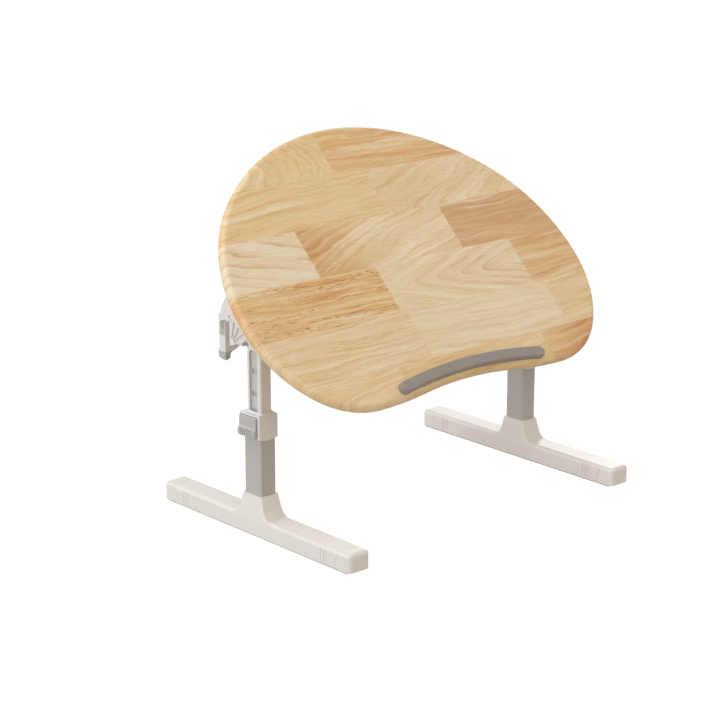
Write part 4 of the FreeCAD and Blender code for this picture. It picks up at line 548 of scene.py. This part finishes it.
class DeskWood(bpy.types.PropertyGroup):
    """What a user would change about the wooden top."""
    board_width: FloatProperty(name="Board width", description="Width that the plank rows span",
                               default=0.6, unit="LENGTH")
    lamella_width: FloatProperty(name="Lamella width", description="Width of one row of planks",
                                 default=0.0727, unit="LENGTH")
    first_row: FloatProperty(name="First row", description="Where the front row starts up the slope",
                             default=-0.2292, unit="LENGTH")
    finger_pitch: FloatProperty(name="Finger pitch", description="Pitch of the finger joints' teeth",
                                default=0.0036, unit="LENGTH")
    finger_length: FloatProperty(name="Finger length", description="Length of the finger joints' teeth",
                                 default=0.003, unit="LENGTH")
    ring_wander: FloatProperty(name="Ring wander", description="How far rings wander, by their roundness",
                               default=0.8)
    ring_tremble: FloatProperty(name="Ring tremble", description="How far the rings tremble on a short way",
                                default=0.0011, unit="LENGTH")
    stain_reach: FloatProperty(name="Stain reach", description="How far a brown stain runs out",
                               default=0.1, unit="LENGTH")
    relief_depth: FloatProperty(name="Relief", description="Depth of the open grain", default=0.00006,
                                unit="LENGTH")
    ring_strength: FloatProperty(name="Rings", description="Strength of the growth rings", default=0.9,
                                 subtype="FACTOR")
    band_strength: FloatProperty(name="Bands", description="Strength of the tan bands", default=0.9,
                                 subtype="FACTOR")
    streak_strength: FloatProperty(name="Streaks", description="Strength of the streaks", default=0.6,
                                   subtype="FACTOR")
    fibre_strength: FloatProperty(name="Fibres", description="Strength of the fine fibres", default=0.62,
                                  subtype="FACTOR")
    pale_strength: FloatProperty(name="Pale bands", description="Strength of the pale bands", default=0.65,
                                 subtype="FACTOR")
    cloud_strength: FloatProperty(name="Clouds", description="Drift in tone along a plank", default=0.12,
                                  subtype="FACTOR")
    vessel_strength: FloatProperty(name="Vessels", description="Strength of the vessel lines", default=0.95,
                                   subtype="FACTOR")
    cream: StringProperty(name="Cream", description="Palest plank", default="#ECDFC4")
    straw: StringProperty(name="Straw", description="Pale plank", default="#EBD8B5")
    honey: StringProperty(name="Honey", description="Warm plank", default="#E9CF9F")
    tan: StringProperty(name="Tan", description="Tan plank", default="#E3C295")
    brown: StringProperty(name="Brown", description="Darkest plank", default="#D8B389")
    late_tint: StringProperty(name="Late wood", description="Tint of bands and streaks", default="#EDCF9F")
    ring_tint: StringProperty(name="Rings", description="Tint of the growth rings", default="#E6C190")
    sapwood: StringProperty(name="Sapwood", description="Pale bands", default="#F1E4C8")
    stain_tint: StringProperty(name="Stain", description="Tint of the brown stains", default="#E2BF92")
    vessel_tint: StringProperty(name="Vessels", description="Tint of the vessel lines", default="#C48A4C")


class DeskFinish(bpy.types.PropertyGroup):
    """What a user would change about plastic and metal."""
    white_plastic: StringProperty(name="White plastic", description="Moulded feet, collars and heads",
                                  default="#E7E4E0")
    grey_plastic: StringProperty(name="Grey plastic", description="Buttons and grips", default="#B8B6B4")
    rail_plastic: StringProperty(name="Rail plastic", description="Notch rails", default="#C9C7C5")
    bar_plastic: StringProperty(name="Bar plastic", description="Stop bar", default="#978F88")
    white_tube: StringProperty(name="White tube", description="Upper tubes", default="#EBE7E2")
    grey_tube: StringProperty(name="Grey tube", description="Lower tubes", default="#B9B6B2")
    steel: StringProperty(name="Steel", description="Plates, pins and screws", default="#C9CCCF")
    rubber: StringProperty(name="Rubber", description="Strips under the feet", default="#2B2A29")


class DeskScrews(bpy.types.PropertyGroup):
    """What a user would change about the screws."""
    head: FloatProperty(name="Wood screw head", description="Radius of the countersunk heads",
                        default=0.0036, unit="LENGTH")
    head_height: FloatProperty(name="Wood screw head height", description="Height of the countersunk heads",
                               default=0.0019, unit="LENGTH")
    shank: FloatProperty(name="Wood screw shank", description="Radius of the shanks", default=0.00175,
                         unit="LENGTH")
    length: FloatProperty(name="Wood screw length", description="Whole length", default=0.0118,
                          unit="LENGTH")
    drive: FloatProperty(name="Cross recess", description="Width of the cross recess", default=0.0042,
                         unit="LENGTH")
    under_board: FloatProperty(name="Head depth", description="From the board's surface to the heads",
                               default=0.019, unit="LENGTH")
    outer: FloatProperty(name="Outer screws", description="From the middle to the outer screws",
                         default=0.241, unit="LENGTH")
    inner: FloatProperty(name="Inner screws", description="From the middle to the inner screws",
                         default=0.215, unit="LENGTH")
    front: FloatProperty(name="Front screws", description="Front screws up the slope", default=-0.090,
                         unit="LENGTH")
    rear: FloatProperty(name="Rear screws", description="Rear screws up the slope", default=-0.017,
                        unit="LENGTH")
    foot_head: FloatProperty(name="Foot screw head", description="Radius of the foot screws' heads",
                             default=0.004, unit="LENGTH")
    foot_head_height: FloatProperty(name="Foot screw head height", description="Height of those heads",
                                    default=0.0026, unit="LENGTH")
    foot_shank: FloatProperty(name="Foot screw shank", description="Radius of their shanks", default=0.002,
                              unit="LENGTH")


class DeskStage(bpy.types.PropertyGroup):
    """What a user would change about the light and the camera."""
    key_power: FloatProperty(name="Key light", description="Power of the low soft light from the left",
                             default=178.0, unit="POWER")
    front_power: FloatProperty(name="Front light", description="Power of the warm light from the front",
                               default=46.0, unit="POWER")
    top_power: FloatProperty(name="Top light", description="Power of the soft light from above",
                             default=52.0, unit="POWER")
    rim_power: FloatProperty(name="Rim light", description="Power of the light from behind on the left",
                             default=22.0, unit="POWER")
    back_power: FloatProperty(name="Back light", description="Power of the light from behind on the right",
                              default=70.0, unit="POWER")
    sky: FloatProperty(name="Sky", description="Strength of the even light all round", default=0.5)
    floor_size: FloatProperty(name="Floor", description="Size of the pale floor", default=14.0,
                              unit="LENGTH")
    floor_drop: FloatProperty(name="Floor drop", description="Depth of the floor below the soles, so that "
                              "drawn-out and tilted legs stay in sight", default=0.062, unit="LENGTH")
    lens: FloatProperty(name="Lens", description="Focal length on a 36 mm wide frame", default=105.99)
    camera_place: FloatVectorProperty(name="Camera", description="Where the camera stands", size=3,
                                      default=(-1.8743, -2.0033, 0.9784), subtype="XYZ")
    yaw: FloatProperty(name="Yaw", description="Turn of the camera towards the right",
                       default=math.radians(41.977), unit="ROTATION")
    pitch: FloatProperty(name="Pitch", description="How far the camera looks down",
                         default=math.radians(16.115), unit="ROTATION")


class DESK_OT_tabletop(bpy.types.Operator):
    """Dresses the board in finger-jointed rubberwood"""
    bl_idname = "desk.tabletop"
    bl_label = "Tabletop"

    def execute(self, context):
        dress(rubberwood(context.scene.desk_wood), "tabletop")
        return {"FINISHED"}


class DESK_OT_stop_bar(bpy.types.Operator):
    """Dresses the curved stop bar in warm grey soft-touch plastic"""
    bl_idname = "desk.stop_bar"
    bl_label = "Stop bar"

    def execute(self, context):
        dress(finish(context, "warm_grey_soft_touch"), "stop_bar")
        return {"FINISHED"}


class DESK_OT_hinge_plates(bpy.types.Operator):
    """Dresses the hinge plates under the board and their pins in zinc"""
    bl_idname = "desk.hinge_plates"
    bl_label = "Hinge plates"

    def execute(self, context):
        dress(finish(context, "zinc_plated_sheet"), *both("hinge_plate"))
        dress(finish(context, "zinc_plated_wire"), *both("fold_pins"))
        return {"FINISHED"}


class DESK_OT_wood_screws(bpy.types.Operator):
    """Models the countersunk wood screws of the hinge plates, with their cross recesses"""
    bl_idname = "desk.wood_screws"
    bl_label = "Wood screws"

    def execute(self, context):
        size = context.scene.desk_screws
        pattern = cross_recess_screw(size.head, size.head_height, size.shank, size.length, size.drive,
                                     pan=False)
        slope = Matrix.Translation(board_surface) @ Matrix.Rotation(board_tilt, 4, "X")
        for side, hand in SIDES:
            places = [slope @ Matrix.Translation((hand * across, up, -size.under_board))
                      for across in (size.outer, size.inner) for up in (size.front, size.rear)]
            screws = set_of_screws(f"{side}_wood_screws", pattern, places)
            screws.data.materials.append(finish(context, "zinc_plated_wire"))
            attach(screws, "top")
            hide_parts(f"{side}_hinge_screws")
        bpy.data.objects.remove(pattern, do_unlink=True)
        return {"FINISHED"}


class DESK_OT_fold_catches(bpy.types.Operator):
    """Dresses the catches that keep the legs unfolded, with their pins and their leaf springs"""
    bl_idname = "desk.fold_catches"
    bl_label = "Fold catches"

    def execute(self, context):
        dress(finish(context, "grey_abs_satin"), *both("fold_catch"))
        dress(finish(context, "zinc_plated_wire"), *both("catch_pin", "catch_spring"))
        for side, _ in SIDES:
            sprung_leaf(context, f"{side}_catch_spring", "top")
        return {"FINISHED"}


class DESK_OT_tilt_sectors(bpy.types.Operator):
    """Dresses the toothed tilt sectors and their pivots in white ABS"""
    bl_idname = "desk.tilt_sectors"
    bl_label = "Tilt sectors"

    def execute(self, context):
        dress(finish(context, "white_abs_spark_grain"), *both("sector_bracket", "tilt_pin"))
        return {"FINISHED"}


class DESK_OT_leg_heads(bpy.types.Operator):
    """Dresses the ribbed leg heads and their tube caps in white ABS, and their rivets in zinc"""
    bl_idname = "desk.leg_heads"
    bl_label = "Leg heads"

    def execute(self, context):
        dress(finish(context, "white_abs_spark_grain"), *both("leg_housing", "tube_head_cap"))
        dress(finish(context, "zinc_plated_wire"), *both("head_rivets"))
        return {"FINISHED"}


class DESK_OT_tilt_levers(bpy.types.Operator):
    """Dresses the tilt levers in white ABS with grey grips, and their pins and leaf springs in zinc"""
    bl_idname = "desk.tilt_levers"
    bl_label = "Tilt levers"

    def execute(self, context):
        dress(finish(context, "white_abs_spark_grain"), *both("lever"))
        dress(finish(context, "grey_abs_satin"), *both("lever_grips"))
        dress(finish(context, "zinc_plated_wire"), *both("lever_pin", "lever_spring"))
        for side, _ in SIDES:
            sprung_leaf(context, f"{side}_lever_spring", f"{side}_head")
        return {"FINISHED"}


class DESK_OT_upper_tubes(bpy.types.Operator):
    """Dresses the slotted upper tubes in white powder coat, with their notch rails and glide bushes"""
    bl_idname = "desk.upper_tubes"
    bl_label = "Upper tubes"

    def execute(self, context):
        dress(finish(context, "white_powder_coat"), *both("upper_tube"))
        dress(finish(context, "grey_nylon_rail"), *both("notch_rail"))
        dress(finish(context, "grey_abs_satin"), *both("glide_bush"))
        return {"FINISHED"}


class DESK_OT_collars(bpy.types.Operator):
    """Dresses the collars in white ABS"""
    bl_idname = "desk.collars"
    bl_label = "Collars"

    def execute(self, context):
        dress(finish(context, "white_abs_spark_grain"), *both("collar"))
        return {"FINISHED"}


class DESK_OT_height_buttons(bpy.types.Operator):
    """Dresses the height buttons in grey ABS, and their pins and leaf springs in zinc"""
    bl_idname = "desk.height_buttons"
    bl_label = "Height buttons"

    def execute(self, context):
        dress(finish(context, "grey_abs_satin"), *both("height_button"))
        dress(finish(context, "zinc_plated_wire"), *both("button_pin", "button_spring"))
        for side, hand in SIDES:
            sprung_leaf(context, f"{side}_button_spring", f"{side}_lower_leg")
        return {"FINISHED"}


class DESK_OT_lower_tubes(bpy.types.Operator):
    """Dresses the lower tubes in grey powder coat, with the plugs inside them"""
    bl_idname = "desk.lower_tubes"
    bl_label = "Lower tubes"

    def execute(self, context):
        dress(finish(context, "grey_powder_coat"), *both("lower_tube"))
        dress(finish(context, "grey_abs_satin"), *both("tube_plug"))
        return {"FINISHED"}


class DESK_OT_feet(bpy.types.Operator):
    """Dresses the feet and their end caps in white ABS, and the strips under them in rubber"""
    bl_idname = "desk.feet"
    bl_label = "Feet"

    def execute(self, context):
        dress(finish(context, "white_abs_spark_grain"), *both("foot", "foot_end_caps"))
        dress(finish(context, "charcoal_eva_strip"), *both("foot_pad"))
        return {"FINISHED"}


class DESK_OT_foot_screws(bpy.types.Operator):
    """Models the pan-head screws under the feet, with their cross recesses"""
    bl_idname = "desk.foot_screws"
    bl_label = "Foot screws"

    def execute(self, context):
        size = context.scene.desk_screws
        low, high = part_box("left_foot_screws")
        pattern = cross_recess_screw(size.foot_head, size.foot_head_height, size.foot_shank,
                                     high[2] - low[2], size.drive, pan=True)
        for side, _ in SIDES:
            low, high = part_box(f"{side}_foot_screws")
            middle = (low[0] + high[0]) / 2
            places = [Matrix.Translation((middle, back, low[2]))
                      for back in (low[1] + size.foot_head, high[1] - size.foot_head)]
            screws = set_of_screws(f"{side}_pan_head_screws", pattern, places)
            screws.data.materials.append(finish(context, "zinc_plated_wire"))
            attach(screws, f"{side}_lower_leg")
            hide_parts(f"{side}_foot_screws")
        bpy.data.objects.remove(pattern, do_unlink=True)
        return {"FINISHED"}


class DESK_OT_stage(bpy.types.Operator):
    """Sets the pale floor, the soft lights, the white surroundings and the camera"""
    bl_idname = "desk.stage"
    bl_label = "Stage"

    def execute(self, context):
        stage = context.scene.desk_stage
        bpy.ops.object.select_all(action="DESELECT")
        bpy.ops.mesh.primitive_plane_add(size=stage.floor_size, location=(0.0, 0.0, -stage.floor_drop))
        floor = context.active_object
        floor.name = "pale_floor"
        material, tree = new_material("pale_studio_floor")
        place = add_node(tree, "TexCoord", {}).outputs["Object"]
        paper = add_node(tree, "TexNoise", {"Vector": place, "Scale": per_mm(400.0)})
        tint = add_node(tree, "Mix", {
            "data_type": "RGBA", 0: paper, 6: linear("#BEB7AD"), 7: linear("#C3BBB1")})
        matt = add_node(tree, "BsdfDiffuse", {"Color": tint.outputs[2]})
        white = add_node(tree, "Emission", {"Color": linear("#FFFFFF"), "Strength": 1.0})
        shown = shown_directly(tree)
        share = add_node(tree, "Math", {"operation": "MULTIPLY", 0: shown, 1: GLOW_SHARE})
        mixed = add_node(tree, "MixShader", {0: share, 1: matt, 2: white})
        strength = add_node(tree, "Math", {"operation": "MULTIPLY", 0: shown, 1: GLOW_LIFT})
        lift = add_node(tree, "Emission", {"Color": (0.95, 0.97, 1.0, 1.0), "Strength": strength})
        whole = add_node(tree, "AddShader", {0: mixed, 1: lift})
        add_node(tree, "OutputMaterial", {"Surface": whole})
        floor.data.materials.append(material)

        for name, power, position, size, colour in SOFTBOXES:
            bpy.ops.object.light_add(type="AREA", location=position)
            lamp = context.active_object
            lamp.name = name
            lamp.data.energy = getattr(stage, power)
            lamp.data.color = linear(colour)[:3]
            lamp.data.shape = "DISK"
            lamp.data.size = size
            aim = Vector(LIGHT_AIM) - lamp.location
            lamp.rotation_euler = aim.to_track_quat("-Z", "Y").to_euler()

        world = bpy.data.worlds.new("studio_surroundings")
        context.scene.world = world
        world.use_nodes = True
        tree = world.node_tree
        tree.nodes.clear()
        light = add_node(tree, "Background", {"Color": (1.0, 0.985, 0.97, 1.0), "Strength": stage.sky})
        white = add_node(tree, "Background", {"Color": linear("#FFFFFF"), "Strength": 1.0})
        mixed = add_node(tree, "MixShader", {0: shown_directly(tree), 1: light, 2: white})
        add_node(tree, "OutputWorld", {"Surface": mixed})

        bpy.ops.object.camera_add(location=stage.camera_place,
                                  rotation=(math.pi / 2 - stage.pitch, 0.0, -stage.yaw))
        camera = context.active_object
        camera.name = "photo_camera"
        camera.data.lens = stage.lens
        camera.data.sensor_width = 36.0
        camera.data.clip_end = 50.0
        context.scene.camera = camera
        context.scene.view_settings.view_transform = "Standard"
        return {"FINISHED"}


PIECES = (DESK_OT_tabletop, DESK_OT_stop_bar, DESK_OT_hinge_plates, DESK_OT_wood_screws,
          DESK_OT_fold_catches, DESK_OT_tilt_sectors, DESK_OT_leg_heads, DESK_OT_tilt_levers,
          DESK_OT_upper_tubes, DESK_OT_collars, DESK_OT_height_buttons, DESK_OT_lower_tubes,
          DESK_OT_feet, DESK_OT_foot_screws, DESK_OT_stage)
GROUPS = {"desk_wood": DeskWood, "desk_finish": DeskFinish, "desk_screws": DeskScrews,
          "desk_stage": DeskStage}


class DESK_PT_sidebar(bpy.types.Panel):
    """Lists the desk's pieces, finishes and stage"""
    bl_idname = "DESK_PT_sidebar"
    bl_label = "Folding lap desk"
    bl_space_type = "VIEW_3D"
    bl_region_type = "UI"
    bl_category = "Desk"

    def draw(self, context):
        layout = self.layout
        for piece in PIECES:
            layout.operator(piece.bl_idname)
        for name, group in GROUPS.items():
            box = layout.box()
            for value in group.__annotations__:
                box.prop(getattr(context.scene, name), value)


CLASSES = (*GROUPS.values(), *PIECES, DESK_PT_sidebar)


def register():
    for cls in CLASSES:
        bpy.utils.register_class(cls)
    for name, group in GROUPS.items():
        setattr(bpy.types.Scene, name, PointerProperty(type=group))


def unregister():
    for name in GROUPS:
        delattr(bpy.types.Scene, name)
    for cls in reversed(CLASSES):
        bpy.utils.unregister_class(cls)


def main():
    register()
    bpy.ops.desk.tabletop()
    bpy.ops.desk.stop_bar()
    bpy.ops.desk.hinge_plates()
    bpy.ops.desk.wood_screws()
    bpy.ops.desk.fold_catches()
    bpy.ops.desk.tilt_sectors()
    bpy.ops.desk.leg_heads()
    bpy.ops.desk.tilt_levers()
    bpy.ops.desk.upper_tubes()
    bpy.ops.desk.collars()
    bpy.ops.desk.height_buttons()
    bpy.ops.desk.lower_tubes()
    bpy.ops.desk.feet()
    bpy.ops.desk.foot_screws()
    bpy.ops.desk.stage()


if __name__ == "__main__":
    main()
